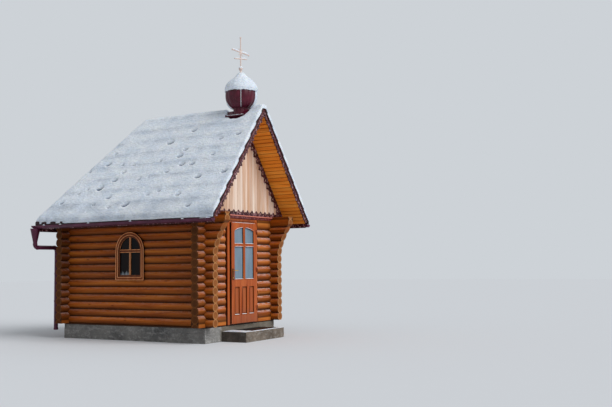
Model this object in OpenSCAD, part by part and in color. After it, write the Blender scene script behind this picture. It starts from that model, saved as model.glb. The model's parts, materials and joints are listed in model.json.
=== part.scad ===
// Small log chapel: notched round logs, steep gabled roof with a hipped rear end,
// lace trim, an onion dome with its cross, two arched windows and one hinged door.
// The origin is the middle of the foundation's underside. +X is the right-hand side
// seen from the front, +Y runs into the building and +Z is up.

/* [Log walls] */
// Distance between the centre lines of the two side walls
axis_w = 2390; // [2200:10:2700]
// Distance between the centre lines of the front and rear walls
axis_l = 3615; // [3300:5:4200]
// Diameter of the rounded logs
log_d = 180; // [176:1:190]
// Height of one course, which is less than the diameter because the logs are flattened
course = 156; // [150:1:160]
// Courses of side logs above the side sill
side_courses = 12; // [11:1:13]
// Length of the front and rear logs past the side walls
side_stub = 215; // [150:5:260]
// Length of the side logs past the front and rear walls
end_stub = 178; // [120:2:220]
// Room left for moss around the saddle notches
notch_gap = 3; // [1:0.5:6]
// Height of the squared plate on each side wall
plate_h = 210; // [180:5:240]
// Reach of the corbelled plate past the front wall
corbel_reach = 470; // [350:5:520]
// Height of the corbel's curve from the first longer log to the plate
corbel_drop = 666; // [480:2:700]
// Height of the squared header logs above their middle
header_rise = 122; // [90:2:150]
// Thickness of the bedding boards under the walls
bedding_t = 20; // [15:1:40]

/* [Foundation] */
// Height of the concrete foundation above the ground
foundation_h = 300; // [200:10:600]
// Setback of the foundation behind the outermost line of the logs
foundation_setback = 20; // [0:5:60]
// Width of the step in front of the door
step_w = 1440; // [1200:10:1800]
// Depth of the step from the foundation
step_l = 590; // [400:10:800]
// Height of the step's top below the top of the foundation
step_drop = 95; // [60:5:150]
// Thickness of the floor boards with their joists
floor_t = 34; // [25:1:60]

/* [Roof] */
// Height of the ridge above the wall plates
ridge_rise = 2182; // [1600:2:2400]
// Drop of the eaves below the top of the wall plates
eave_drop = 118; // [0:2:160]
// Overhang of the side eaves past the logs
eave_overhang = 530; // [420:10:640]
// Overhang of the roof in front of the front wall
front_overhang = 580; // [520:10:800]
// Overhang of the rear eave past the rear wall
rear_overhang = 290; // [250:10:500]
// Plan length of the hipped rear slope
hip_run = 1575; // [1200:5:1800]
// Vertical thickness of the roof from the metal to the soffit
roof_v = 145; // [120:5:220]
// Vertical thickness of the battens and sheet under the tile steps
cover_v = 30; // [20:1:50]
// Length of one course of the pressed metal tiles
tile_l = 350; // [300:10:400]
// Height of the step between two tile courses
tile_rise = 30; // [15:1:40]
// Half the width of the flat that cuts off the ridge
ridge_flat = 42; // [20:1:60]
// Reach of the ridge and hip caps down the slopes
cap_leg = 130; // [90:5:180]
// Thickness of the ridge and hip caps
cap_t = 8; // [4:1:12]
// Distance from the covering's edge back to the fascia
fascia_inset = 90; // [80:2:110]
// Thickness of the fascia and barge boards
board_t = 22; // [18:1:30]
// Depth of the metal's folded edge over the barge boards
fold_h = 40; // [30:1:60]
// Depth of the barge boards that shows between the folded edge and the lace
barge_show = 50; // [30:2:90]
// Depth of the side fascia's lower edge below the covering's edge
fascia_drop = 110; // [90:5:170]
// Depth of the rear fascia's lower edge below the covering's edge
rear_fascia_drop = 165; // [120:5:220]
// Height of the tie beams across the plates
tie_h = 120; // [90:5:150]
// Width of the tie beams
tie_w = 100; // [80:5:140]

/* [Lace trim] */
// Width of one loop of the lace
lace_pitch = 170; // [120:2:220]
// Depth of the lace on the barge boards, measured upright
barge_lace_h = 155; // [120:5:200]
// Depth of the gable's edging on its slopes
edge_h = 170; // [100:2:180]
// Depth of the gable's edging along its foot
foot_h = 116; // [80:2:130]
// Thickness of the lace boards
lace_t = 14; // [10:1:20]

/* [Gutters] */
// Outer radius of the half-round gutters
gutter_r = 62; // [50:1:75]
// Wall of the gutters and of the downpipe
gutter_wall = 3; // [2:0.5:5]
// Drop of the gutters' rim below the covering's edge
gutter_drop = 35; // [31:1:70]
// Outer radius of the downpipe
pipe_r = 45; // [35:1:50]

/* [Dome] */
// Distance of the dome's axis behind the front wall's centre line
dome_back = -82; // [-100:2:400]
// Widest radius of the onion dome
dome_r = 322; // [280:1:380]
// Height of the dome's foot above the ridge
dome_foot = 60; // [52:1:80]
// Height of the widest part above the ridge
dome_belly = 330; // [280:2:380]
// Height of the dome's tip above the ridge
dome_tip = 806; // [700:2:900]
// Radius of the drum under the dome
drum_r = 150; // [120:2:170]
// Height of the cross above the ridge
cross_top = 1580; // [1350:5:1700]
// Diameter of the cross's rods
cross_d = 26; // [20:1:34]
// Height of the cross's level bar below its top
bar_drop = 313; // [250:1:400]
// Length of the cross's level bar
cross_bar = 600; // [400:10:700]
// Height of the cross's foot bar below its top
foot_drop = 453; // [400:1:600]
// Length of the cross's slanting foot bar
foot_bar = 450; // [250:10:500]

/* [Windows] */
// Width of a window's glass
win_w = 536; // [440:2:620]
// Height of the glass from its sill to the spring of the arch
win_h = 505; // [400:5:640]
// Height of the glass's sill above the foundation
win_z = 1040; // [900:5:1100]
// Thickness of the window lining
lining_t = 50; // [35:1:55]
// Width that the casing covers past the lining
casing_w = 58; // [40:1:80]
// Thickness of the casing boards
casing_t = 30; // [20:1:40]
// Width of the window bars
win_bar = 44; // [30:1:60]
// Depth of the glass behind the casing's face
glass_depth = 36; // [30:1:80]

/* [Door] */
// Width of the door leaf
leaf_w = 910; // [800:5:960]
// Thickness of the door leaf
leaf_t = 40; // [36:1:50]
// Width of the leaf's stiles
stile_w = 100; // [80:2:120]
// Height of the leaf's lower edge above the foundation
leaf_z = 35; // [28:1:45]
// Width of the frame that shows beside the leaf
jamb_show = 90; // [60:2:110]
// Height of the frame that shows above the leaf
head_show = 80; // [60:2:100]
// Width of the groove between the frame and the cut logs
frame_groove = 45; // [10:5:60]
// Lap of the leaf on its frame
leaf_lap = 25; // [18:1:32]
// Gap between the leaf and its frame
door_gap = 5; // [5:0.5:8]
// Rise of the segmental arch over the glass
arch_rise = 68; // [50:2:90]
// Height of the glass's sill above the foundation
light_z = 935; // [850:5:1050]
// Height of the glass's level bar above the foundation
bar_z = 1595; // [1500:5:1700]
// Width of the glass's bars
door_bar = 68; // [50:2:90]
// Height of the panels' foot above the foundation
panel_z = 215; // [180:5:260]
// Height of the panels
panel_h = 560; // [450:5:600]
// Width of each of the three panels
panel_w = 178; // [150:2:200]
// Height of the door's handle above the foundation
handle_z = 1110; // [950:5:1150]
// Running clearance of the hinge pins
pin_gap = 0.3; // [0.2:0.05:0.5]

/* [Hidden] */
$fn = 64;
// Clearance between pieces that meet on a slope
seat_gap = 0.1;

log_r = log_d / 2;
half = course / 2;
side_x = axis_w / 2;
end_y = axis_l / 2;
wall_z = foundation_h + bedding_t;
plate_z = wall_z + course * (side_courses + 1);
wall_top = plate_z + plate_h;
// The front and rear logs lie half a course higher than the side logs
header_top = plate_z + header_rise;
face_x = side_x + log_r;
face_y = end_y + log_r;

roof_x = face_x + eave_overhang;
roof_y0 = -face_y - front_overhang;
roof_y1 = face_y + rear_overhang;
hip_y = roof_y1 - hip_run;
ridge_z = wall_top + ridge_rise;
eave_z = wall_top - eave_drop;
slope = (ridge_z - eave_z) / (roof_x - ridge_flat);
// Height at which the planes of the slopes would meet over the flat ridge
apex_z = ridge_z + slope * ridge_flat;
hip_slope = (apex_z - eave_z) / hip_run;
roof_angle = atan(slope);
fascia_x = roof_x - fascia_inset;
fascia_y = roof_y1 - fascia_inset * hip_run / roof_x;
gable_y = -face_y - board_t;
// Planes of the folded edge, the barge lace and the barge boards behind it
fold_t = 4;
lace_y = roof_y0 + fold_t;
barge_y = lace_y + lace_t;
deck_y = barge_y + board_t;
gutter_x = fascia_x + board_t + gutter_r;
gutter_y = fascia_y + board_t + gutter_r;
gutter_top = eave_z - gutter_drop;

color_log = [0.66, 0.33, 0.12];
color_end = [0.74, 0.49, 0.26];
color_pale = [0.86, 0.68, 0.47];
color_soffit = [0.76, 0.43, 0.14];
color_maroon = [0.36, 0.08, 0.14];
color_lace = [0.55, 0.27, 0.27];
color_door = [0.72, 0.27, 0.10];
color_concrete = [0.50, 0.50, 0.49];

// Height of the covering's upper surface over a point of a side slope
function roof_top(x) = apex_z - slope * abs(x);
// Height of the seats under a side slope's soffit
function soffit(x) = roof_top(x) - roof_v - seat_gap;
// Where a horizontal plane meets those seats
function soffit_x(z) = (soffit(0) - z) / slope;
function bezier(a, b, c, d, t) =
    a * pow(1 - t, 3) + 3 * b * t * pow(1 - t, 2) + 3 * c * t * t * (1 - t) + d * pow(t, 3);
function curve(a, b, c, d, steps) =
    [for (i = [1 : steps]) bezier(a, b, c, d, i / steps)];

// A box given by its lowest and highest corners
module block(low, high) {
    translate(low) cube(high - low);
}

// A round bar along +Y with its middle at the origin
module bar_y(y0, y1, r) {
    translate([0, y0, 0]) rotate([-90, 0, 0]) cylinder(r = r, h = y1 - y0);
}

// Outline in the XZ plane carried along +Y
module along_y(y0, y1) {
    translate([0, y1, 0]) rotate([90, 0, 0]) linear_extrude(y1 - y0) children();
}

// Outline in the YZ plane carried along +X
module along_x(x0, x1) {
    translate([x0, 0, 0]) rotate([90, 0, 90]) linear_extrude(x1 - x0) children();
}

// One log along +Y, flattened on its seats
module log_y(y0, y1) {
    intersection() {
        bar_y(y0, y1, log_r);
        block([-log_r, y0 - 1, -half], [log_r, y1 + 1, half]);
    }
}

// The hollow that a saddle notch leaves over a log along +Y
module saddle_y(y0, y1) {
    wide = log_r + notch_gap;
    intersection() {
        union() {
            bar_y(y0, y1, wide);
            block([-wide, y0, -2 * course], [wide, y1, 0]);
        }
        block([-wide, y0 - 1, -2 * course], [wide, y1 + 1, half]);
    }
}

module turned_to_x() {
    rotate([0, 0, -90]) children();
}

// Middle height of side log number i
function side_log_z(i) = wall_z + half + course * i;
// Middle height of front or rear log number i
function end_log_z(i) = wall_z + course + course * i;

// The space in front of the corbelled ends, one smooth curve under the plates
module corbel_cut() {
    top = plate_z + plate_h * 0.25;
    steps = 12;
    reach = corbel_reach - end_stub;
    front = -face_y - corbel_reach - 200;
    points = [for (i = [0 : steps])
        [-face_y - end_stub - reach * pow(i / steps, 1.6), top - corbel_drop * (1 - i / steps)]];
    foot = points[0][1] - course;
    along_x(-roof_x, roof_x) polygon(concat(
        [[front, foot], [-face_y - end_stub, foot]], points, [[front, top]]));
}

// One log of a side wall, notched over the front and rear logs below it
module side_log(i) {
    z = side_log_z(i);
    corbel = i > side_courses - 4;
    front = -face_y - (corbel ? corbel_reach : end_stub);
    difference() {
        translate([0, 0, z]) log_y(front, face_y + end_stub);
        if (i > 0) {
            for (y = [-end_y, end_y]) {
                translate([0, y, z - half]) turned_to_x() saddle_y(-log_d, log_d);
            }
        }
        if (corbel) {
            corbel_cut();
        }
    }
}

// Outline of a window: a square with a round head, grown by a margin
module arch_outline(margin) {
    translate([-win_w / 2 - margin, -margin]) square([win_w + 2 * margin, win_h + margin]);
    translate([0, win_h]) circle(r = win_w / 2 + margin);
}

// A window's outline carried along +X through the wall
module window_hole(margin, x0, x1) {
    translate([0, 0, foundation_h + win_z]) along_x(x0, x1) arch_outline(margin);
}

// The cut in a side wall for the window lining, tight at its sill
module window_cut() {
    fit = 3;
    difference() {
        window_hole(lining_t + fit, -log_d, log_d);
        block([-log_d, -win_w, 0], [log_d, win_w, foundation_h + win_z - lining_t]);
    }
}

// Every second log of the left side wall
module side_wall(first) {
    color(color_log) translate([-side_x, 0, 0]) difference() {
        for (i = [first : 2 : side_courses]) {
            side_log(i);
        }
        window_cut();
    }
}

module left_logs_even() { side_wall(0); }
module left_logs_odd() { side_wall(1); }
module right_logs_even() { mirror([1, 0, 0]) side_wall(0); }
module right_logs_odd() { mirror([1, 0, 0]) side_wall(1); }

// One log of the front or rear wall between two ends, with its middle at y = 0
module end_log(i, x0, x1) {
    z = end_log_z(i);
    difference() {
        union() {
            translate([0, 0, z]) intersection() {
                turned_to_x() bar_y(x0, x1, log_r);
                block([x0, -log_r, -half], [x1, log_r, half]);
            }
            // The sill is squared down to the bedding board
            if (i == 0) {
                block([x0, -log_r, wall_z], [x1, log_r, z]);
            }
            // The header is squared up to the gable beam
            if (i == side_courses) {
                block([x0, -log_r, z], [x1, log_r, header_top]);
            }
        }
        for (x = [-side_x, side_x]) {
            translate([x, 0, z - half]) saddle_y(-log_d, log_d);
        }
    }
}

// Every second log of the front or rear wall between two ends
module end_wall(first, y, x0, x1) {
    color(color_log) translate([0, y, 0]) for (i = [first : 2 : side_courses]) {
        end_log(i, x0, x1);
    }
}

stub_x = face_x + side_stub;
jamb_x = leaf_w / 2 + jamb_show;
rough_x = jamb_x + frame_groove;

module rear_logs_even() { end_wall(0, end_y, -stub_x, stub_x); }
module rear_logs_odd() { end_wall(1, end_y, -stub_x, stub_x); }

// The front wall's logs on both sides of the door
module front_logs(first) {
    end_wall(first, -end_y, -stub_x, -rough_x);
    end_wall(first, -end_y, rough_x, stub_x);
}

module front_logs_even() { front_logs(0); }
module front_logs_odd() { front_logs(1); }

// The squared plate on the left side wall, notched over the headers
module side_plate() {
    rear = 85;
    wide = log_r + notch_gap;
    color(color_log) translate([-side_x, 0, 0]) difference() {
        block([-log_r, -face_y - corbel_reach, plate_z], [log_r, face_y + rear, wall_top]);
        for (y = [-end_y, end_y]) {
            block([-log_d, y - wide, plate_z - 1], [log_d, y + wide, header_top]);
        }
        corbel_cut();
    }
}

module left_plate() { side_plate(); }
module right_plate() { mirror([1, 0, 0]) side_plate(); }

// Beams between the plates that close the front and rear walls
module gable_beams() {
    inner = side_x - log_r;
    color(color_log) for (y = [-end_y, end_y]) {
        block([-inner, y - log_r, header_top], [inner, y + log_r, wall_top]);
    }
}

// Ceiling ties across the plates, whose ends carry the slopes
module tie_profile() {
    low = soffit_x(wall_top);
    high = soffit_x(wall_top + tie_h);
    polygon([[-low, wall_top], [low, wall_top], [high, wall_top + tie_h], [-high, wall_top + tie_h]]);
}

tie_count = 5;
tie_y0 = -face_y + tie_w / 2;
tie_y1 = end_y - tie_w / 2;
function tie_y(i) = tie_y0 + (tie_y1 - tie_y0) * i / (tie_count - 1);

module tie_beams() {
    color(color_log) for (i = [0 : tie_count - 1]) {
        along_y(tie_y(i) - tie_w / 2, tie_y(i) + tie_w / 2) tie_profile();
    }
}

// Upright boards on the plates that close the space under the slopes
module blocking_boards() {
    t = 30;
    inner = face_x - t;
    color(color_soffit) difference() {
        union() {
            for (side = [-1, 1]) {
                scale([side, 1, 1]) along_y(tie_y0, face_y) polygon([
                    [inner, wall_top], [face_x, wall_top], [face_x, soffit(face_x)], [inner, soffit(inner)]]);
            }
            block([-inner, face_y - t, wall_top], [inner, face_y, ridge_z]);
        }
        under_hip_cut();
        for (i = [0 : tie_count - 1]) {
            block([-roof_x, tie_y(i) - tie_w / 2, 0], [roof_x, tie_y(i) + tie_w / 2, wall_top + tie_h]);
        }
    }
}

// Everything above the rear slope's soffit
module under_hip_cut() {
    low = soffit(0);
    along_x(-roof_x, roof_x) polygon([
        [hip_y, low], [roof_y1, low - hip_slope * hip_run], [roof_y1, ridge_z], [hip_y, ridge_z]]);
}

// Plan of the left slope, with its edges set back by a distance
module left_plan(inset) {
    rear = roof_y1 - inset * hip_run / roof_x;
    polygon([[0, roof_y0], [0, hip_y], [-(roof_x - inset), rear], [-(roof_x - inset), roof_y0]]);
}

module rear_plan(inset) {
    rear = roof_y1 - inset * hip_run / roof_x;
    polygon([[0, hip_y], [roof_x - inset, rear], [-(roof_x - inset), rear]]);
}

// The space between two depths below the left slope's plane
module left_band(top, bottom) {
    along_y(roof_y0, roof_y1) polygon([
        [0, apex_z - top], [-roof_x, eave_z - top], [-roof_x, eave_z - bottom], [0, apex_z - bottom]]);
}

module rear_band(top, bottom) {
    along_x(-roof_x, roof_x) polygon([
        [hip_y, apex_z - top], [roof_y1, eave_z - top],
        [roof_y1, eave_z - bottom], [hip_y, apex_z - bottom]]);
}

module roof_deck_left() {
    color(color_soffit) difference() {
        intersection() {
            left_band(cover_v, roof_v);
            linear_extrude(ridge_z) left_plan(fascia_inset);
        }
        block([-roof_x, roof_y0 - 1, 0], [1, deck_y, apex_z]);
    }
}

module roof_deck_right() { mirror([1, 0, 0]) roof_deck_left(); }

module roof_deck_rear() {
    color(color_soffit) intersection() {
        rear_band(cover_v, roof_v);
        linear_extrude(ridge_z) rear_plan(fascia_inset);
    }
}

// Section of the covering from the eave up a slope, with a step at each tile course
function tile_steps(run) =
    let (rise = apex_z - eave_z, course_run = tile_l * cos(atan(rise / run)))
    [for (i = [0 : ceil(run / course_run) - 1])
        let (low = i * course_run, high = min(low + course_run, run))
        each [[low, low * rise / run + tile_rise],
            [high, high * rise / run + tile_rise * (1 - (high - low) / course_run)]]];

// Left slope's covering, with its stepped tiles and its edge folded down at the front
module roof_metal_left() {
    color(color_maroon) intersection() {
        union() {
            along_y(roof_y0, roof_y1) polygon(concat(
                [[-roof_x, eave_z - cover_v]],
                [for (p = tile_steps(roof_x)) [p[0] - roof_x, p[1] + eave_z]],
                [[0, apex_z - cover_v]]));
            along_y(roof_y0, lace_y) polygon([
                [-roof_x, eave_z], [0, apex_z], [0, apex_z - fold_h], [-roof_x, eave_z - fold_h]]);
        }
        linear_extrude(ridge_z) left_plan(0);
    }
}

module roof_metal_right() { mirror([1, 0, 0]) roof_metal_left(); }

module roof_metal_rear() {
    color(color_maroon) intersection() {
        along_x(-roof_x, roof_x) polygon(concat(
            [[roof_y1, eave_z - cover_v]],
            [for (p = tile_steps(hip_run)) [roof_y1 - p[0], p[1] + eave_z]],
            [[hip_y, apex_z - cover_v]]));
        linear_extrude(ridge_z) rear_plan(0);
    }
}

// Height of the caps' flanges above the plane of the slopes
cap_lift = tile_rise + seat_gap;
// Half width of the flat on the ridge with the tiles' steps
flat_x = (apex_z + cap_lift - ridge_z) / slope;
flat_y = hip_y + flat_x * hip_run / roof_x;

// Section under the ridge cap: the cut-off slopes with their steps, raised by a margin
module ridge_section(margin) {
    wide = 2 * cap_leg;
    side = roof_top(wide) + cap_lift + margin;
    polygon([[-wide, side], [-flat_x, ridge_z + margin], [flat_x, ridge_z + margin], [wide, side],
        [wide, roof_top(2 * wide)], [-wide, roof_top(2 * wide)]]);
}

// A folded sheet of a given thickness and reach over the ridge
module ridge_sheet(margin, thick, reach) {
    intersection() {
        difference() {
            ridge_section(margin + thick);
            ridge_section(margin);
        }
        translate([-reach, 0]) square([2 * reach, 2 * ridge_z]);
    }
}

// Left hip's cap, a strip that follows both slopes
module hip_cap() {
    top = cap_lift + cap_t;
    side = cap_leg / sin(atan(roof_x / hip_run));
    intersection() {
        union() {
            intersection() {
                left_band(-top, -cap_lift);
                linear_extrude(ridge_z + cap_t) left_plan(0);
            }
            intersection() {
                rear_band(-top, -cap_lift);
                linear_extrude(ridge_z + cap_t) rear_plan(0);
            }
        }
        linear_extrude(2 * ridge_z) polygon([
            [0, hip_y - side], [0, hip_y + side], [-roof_x, roof_y1 + side], [-roof_x, roof_y1 - side]]);
    }
}

// Flat-topped cap along the ridge with folded caps down the two hips
module ridge_cap() {
    color(color_maroon) union() {
        along_y(roof_y0, flat_y) ridge_sheet(0, cap_t, cap_leg);
        hip_cap();
        mirror([1, 0, 0]) hip_cap();
    }
}

// Foot of the gable's boards on the plates, and of their edging between the plates
gable_z = wall_top + 2;
edge_z = wall_top - 10;

// Upright boards of the front gable
module gable_boards() {
    reach = soffit_x(gable_z);
    color(color_pale) along_y(gable_y, -face_y) polygon([
        [-reach, gable_z], [reach, gable_z], [0, soffit(0)]]);
}

// A lace board along +X hanging from y = 0: a pierced strip with pierced lobes, drops and scallops
module lace(length, depth) {
    count = round(length / lace_pitch);
    step = length / count;
    strip = depth * 0.5;
    drop_r = depth * 0.1;
    lobe_r = min(depth * 0.36, step * 0.4);
    lobe_y = drop_r + lobe_r - depth;
    scallop_r = depth * 0.16;
    eye_y = -depth * 0.22;
    eye_r = depth * 0.085;
    difference() {
        union() {
            translate([0, -strip]) square([length, strip]);
            for (i = [0 : count - 1]) {
                translate([(i + 0.5) * step, lobe_y]) circle(r = lobe_r);
                translate([(i + 0.5) * step, drop_r - depth]) circle(r = drop_r, $fn = 24);
                translate([i * step, -strip]) circle(r = scallop_r, $fn = 32);
            }
        }
        for (i = [0 : count - 1]) {
            translate([(i + 0.5) * step, lobe_y]) circle(r = lobe_r * 0.42, $fn = 32);
            translate([(i + 0.5) * step, eye_y]) circle(r = eye_r, $fn = 24);
            translate([i * step, eye_y]) circle(r = eye_r, $fn = 24);
            translate([i * step, -strip]) circle(r = scallop_r * 0.4, $fn = 24);
        }
    }
}

// A lace board that runs down the left slope from the ridge, face to the front
module slope_lace(top, length, depth) {
    intersection() {
        translate([0, apex_z - top]) rotate(180 + roof_angle) mirror([0, 1]) lace(length, depth);
        translate([-2 * roof_x, 0]) square([2 * roof_x, 2 * ridge_z]);
    }
}

// Scalloped edging along both slopes and the foot of the gable
module gable_lace() {
    inner = side_x - log_r - 1;
    reach = soffit_x(gable_z);
    color(color_maroon) along_y(gable_y - lace_t, gable_y) {
        intersection() {
            for (side = [0, 1]) {
                mirror([side, 0]) slope_lace(roof_v + seat_gap, reach / cos(roof_angle), edge_h);
            }
            translate([-roof_x, gable_z]) square([2 * roof_x, ridge_z]);
        }
        intersection() {
            translate([-reach, edge_z]) mirror([0, 1]) lace(2 * reach, foot_h);
            polygon([[-inner, edge_z], [inner, edge_z], [inner, gable_z], [reach, gable_z],
                [0, soffit(0)], [-reach, gable_z], [-inner, gable_z]]);
        }
    }
}

// Moulding under the gable, between the plates
module cornice_moulding() {
    out = 60;
    high = 70;
    top = edge_z;
    inner = side_x - log_r;
    color(color_lace) along_x(-inner, inner) polygon(concat(
        [[-face_y, top], [-face_y - out, top], [-face_y - out, top - high * 0.25]],
        curve([-face_y - out, top - high * 0.25], [-face_y - out * 0.4, top - high * 0.3],
            [-face_y - out * 0.6, top - high * 0.8], [-face_y - out * 0.2, top - high], 6),
        [[-face_y, top - high]]));
}

// The front plane between the fascias, from the eaves' height up to the flat ridge
module rake_plane() {
    x = fascia_x + board_t;
    translate([-x, eave_z]) square([2 * x, ridge_z - eave_z]);
}

// Band on both front slopes between two depths below the covering
module rake_band(top, bottom) {
    x = roof_x;
    intersection() {
        polygon([[0, apex_z - top], [x, eave_z - top], [x, eave_z - bottom],
            [0, apex_z - bottom], [-x, eave_z - bottom], [-x, eave_z - top]]);
        rake_plane();
    }
}

// Barge boards over the front ends of both slopes
module barge_boards() {
    color(color_lace) along_y(barge_y, deck_y)
        rake_band(cover_v + seat_gap, fold_h + barge_show + barge_lace_h * 0.3);
}

// Lace on the lower part of the barge boards
module barge_lace() {
    reach = roof_x / cos(roof_angle);
    color(color_maroon) along_y(lace_y, barge_y) intersection() {
        for (side = [0, 1]) {
            mirror([side, 0]) slope_lace(fold_h + barge_show, reach, barge_lace_h * cos(roof_angle));
        }
        rake_plane();
    }
}

// Fascia boards along the side and rear eaves, mitred at the rear corners
module fascia_boards() {
    outer_x = fascia_x + board_t;
    outer_y = fascia_y + board_t;
    low = eave_z - fascia_drop;
    top = cover_v + seat_gap;
    color(color_maroon) difference() {
        union() {
            for (side = [-1, 1]) {
                scale([side, 1, 1]) along_y(deck_y, outer_y) polygon([
                    [fascia_x, low], [outer_x, low],
                    [outer_x, roof_top(outer_x) - top], [fascia_x, roof_top(fascia_x) - top]]);
            }
            block([-outer_x, fascia_y, eave_z - rear_fascia_drop],
                [outer_x, outer_y, roof_top(outer_x) - top]);
        }
        translate([0, 0, -top]) above_hip();
    }
}

// Everything above the rear slope's upper surface
module above_hip() {
    along_x(-2 * roof_x, 2 * roof_x) polygon([
        [hip_y, apex_z], [roof_y1 + hip_run, eave_z - hip_slope * hip_run],
        [roof_y1 + hip_run, 2 * apex_z], [hip_y, 2 * apex_z]]);
}

// Section of a gutter, an open half ring
module gutter_section() {
    difference() {
        circle(r = gutter_r);
        circle(r = gutter_r - gutter_wall);
        translate([-gutter_r * 2, 0]) square(gutter_r * 4);
    }
}

// A side gutter on the right, mitred at the rear corner and closed at the front
module side_gutter() {
    color(color_maroon) {
        intersection() {
            translate([gutter_x, 0, gutter_top]) along_y(lace_y, gutter_y + gutter_r) gutter_section();
            linear_extrude(ridge_z) polygon([
                [gutter_x - 2 * gutter_r, roof_y0 - 1], [gutter_x + 2 * gutter_r, roof_y0 - 1],
                [gutter_x + 2 * gutter_r, gutter_y + 2 * gutter_r],
                [gutter_x - 2 * gutter_r, gutter_y - 2 * gutter_r]]);
        }
        translate([gutter_x, 0, gutter_top]) intersection() {
            bar_y(lace_y, lace_y + gutter_wall, gutter_r);
            block([-gutter_r, roof_y0, -gutter_r], [gutter_r, barge_y, 0]);
        }
    }
}

module gutter_left() { mirror([1, 0, 0]) side_gutter(); }
module gutter_right() { side_gutter(); }

// The rear gutter between the two mitres
module gutter_rear() {
    far = gutter_x + 2 * gutter_r;
    near = gutter_x - 2 * gutter_r;
    color(color_maroon) intersection() {
        translate([0, gutter_y, gutter_top]) along_x(-far, far) gutter_section();
        linear_extrude(ridge_z) polygon([
            [-near, gutter_y - 2 * gutter_r], [near, gutter_y - 2 * gutter_r],
            [far, gutter_y + 2 * gutter_r], [-far, gutter_y + 2 * gutter_r]]);
    }
}

// A quarter bend in the XZ plane about the origin, from +X round to +Z
module bend(r) {
    rotate([90, 0, 0]) rotate_extrude(angle = 90) translate([r, 0]) circle(r = pipe_r);
}

// Downpipe at the rear left corner, from a tapered hopper to its outlet by the ground
module downpipe() {
    top = gutter_top - gutter_r;
    hopper_h = 290;
    hopper_r = 105;
    bend_r = 66;
    neck = 44;
    run_z = top - hopper_h - neck - bend_r;
    outlet_z = 160;
    outlet_depth = 120;
    strap = 15;
    strap_in = 500;
    left = bend_r - gutter_x;
    right = -side_x - bend_r;
    color(color_maroon) translate([0, gutter_y, 0]) {
        difference() {
            union() {
                difference() {
                    translate([-gutter_x, 0, top - hopper_h])
                        cylinder(r1 = pipe_r, r2 = hopper_r, h = hopper_h);
                    block([gutter_r - gutter_x, -2 * hopper_r, top - hopper_h], [0, -gutter_r, top + 1]);
                }
                translate([-gutter_x, 0, run_z + bend_r]) cylinder(r = pipe_r, h = neck);
                translate([left, 0, run_z + bend_r]) rotate([0, 180, 0]) bend(bend_r);
                translate([left, 0, run_z]) rotate([0, 90, 0]) cylinder(r = pipe_r, h = right - left);
                translate([right, 0, run_z - bend_r]) bend(bend_r);
                translate([-side_x, 0, outlet_z])
                    cylinder(r = pipe_r, h = run_z - bend_r - outlet_z);
            }
            translate([-side_x, 0, outlet_z - 1]) cylinder(r = pipe_r - gutter_wall, h = outlet_depth);
        }
        for (z = [outlet_z + strap_in, run_z - strap_in]) {
            block([-side_x - strap, face_y + end_stub - gutter_y, z - strap],
                [-side_x + strap, -pipe_r * 0.9, z + strap]);
        }
    }
}

dome_y = -end_y + dome_back;
neck_z = ridge_z + dome_foot;
flashing_t = 6;

// Flashing saddle over the ridge cap, under the drum
module dome_base() {
    r = drum_r * 1.6;
    color(color_maroon) along_y(dome_y - r, dome_y + r) ridge_sheet(cap_t + seat_gap, flashing_t, r);
}

// Round drum astride the ridge, with a ring and pointed metal tags under the dome
module dome_drum() {
    ring_h = 14;
    ring_r = drum_r + 16;
    tags = 12;
    tag_h = 95;
    tag_t = 16;
    tag_w = 2 * drum_r * sin(180 / tags);
    color(color_maroon) difference() {
        translate([0, dome_y, 0]) {
            translate([0, 0, roof_top(ring_r)]) cylinder(r = drum_r, h = neck_z - roof_top(ring_r));
            translate([0, 0, neck_z - ring_h]) cylinder(r = ring_r, h = ring_h);
            for (i = [0 : tags - 1]) {
                rotate((i + 0.5) * 360 / tags) translate([drum_r - tag_t / 2, 0, neck_z - ring_h])
                    rotate([90, 0, 90]) linear_extrude(tag_t)
                        polygon([[-tag_w / 2, 1], [tag_w / 2, 1], [0, -tag_h]]);
            }
        }
        along_y(dome_y - 2 * drum_r, dome_y + 2 * drum_r) ridge_section(cap_t + 2 * seat_gap + flashing_t);
    }
}

// The onion, a lower bowl and an upper ogee turned about its axis
module dome() {
    belly = ridge_z + dome_belly;
    tip = ridge_z + dome_tip;
    neck_r = drum_r - 8;
    stem_r = cross_d;
    lower = curve([neck_r, neck_z], [dome_r * 0.78, neck_z + 12],
        [dome_r, belly - 145], [dome_r, belly], 10);
    upper = curve([dome_r, belly], [dome_r, belly + 328],
        [dome_r * 0.48, belly + 260], [stem_r, tip], 14);
    color(color_maroon) translate([0, dome_y, 0]) rotate_extrude($fn = 96)
        polygon(concat([[0, neck_z], [neck_r, neck_z]], lower, upper, [[0, tip]]));
}

// Cross on a ball, with a level bar, rays at the crossing and a slanting foot bar
module roof_cross() {
    tip = ridge_z + dome_tip;
    top = ridge_z + cross_top;
    ball_r = 42;
    ball_z = tip + 106;
    bar_height = top - bar_drop;
    foot_height = top - foot_drop;
    foot_slant = 9;
    ray = 95;
    r = cross_d / 2;
    color("gainsboro") translate([0, dome_y, 0]) {
        translate([0, 0, tip]) cylinder(r = r, h = top - tip);
        translate([0, 0, tip]) cylinder(r1 = cross_d, r2 = r, h = ball_z - tip);
        translate([0, 0, ball_z]) sphere(r = ball_r);
        translate([-cross_bar / 2, 0, bar_height]) rotate([0, 90, 0]) cylinder(r = r, h = cross_bar);
        translate([0, 0, foot_height]) rotate([0, 90 - foot_slant, 0])
            translate([0, 0, -foot_bar / 2]) cylinder(r = r, h = foot_bar);
        for (x = [-cross_bar / 2, cross_bar / 2]) {
            translate([x, 0, bar_height]) sphere(r = r * 1.6);
        }
        for (turn = [45, 135]) {
            translate([0, 0, bar_height]) rotate([0, turn, 0])
                translate([0, 0, -ray]) cylinder(r = r * 0.6, h = 2 * ray);
        }
        translate([0, 0, top]) sphere(r = r * 1.6);
    }
}

glass_t = 6;
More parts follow.
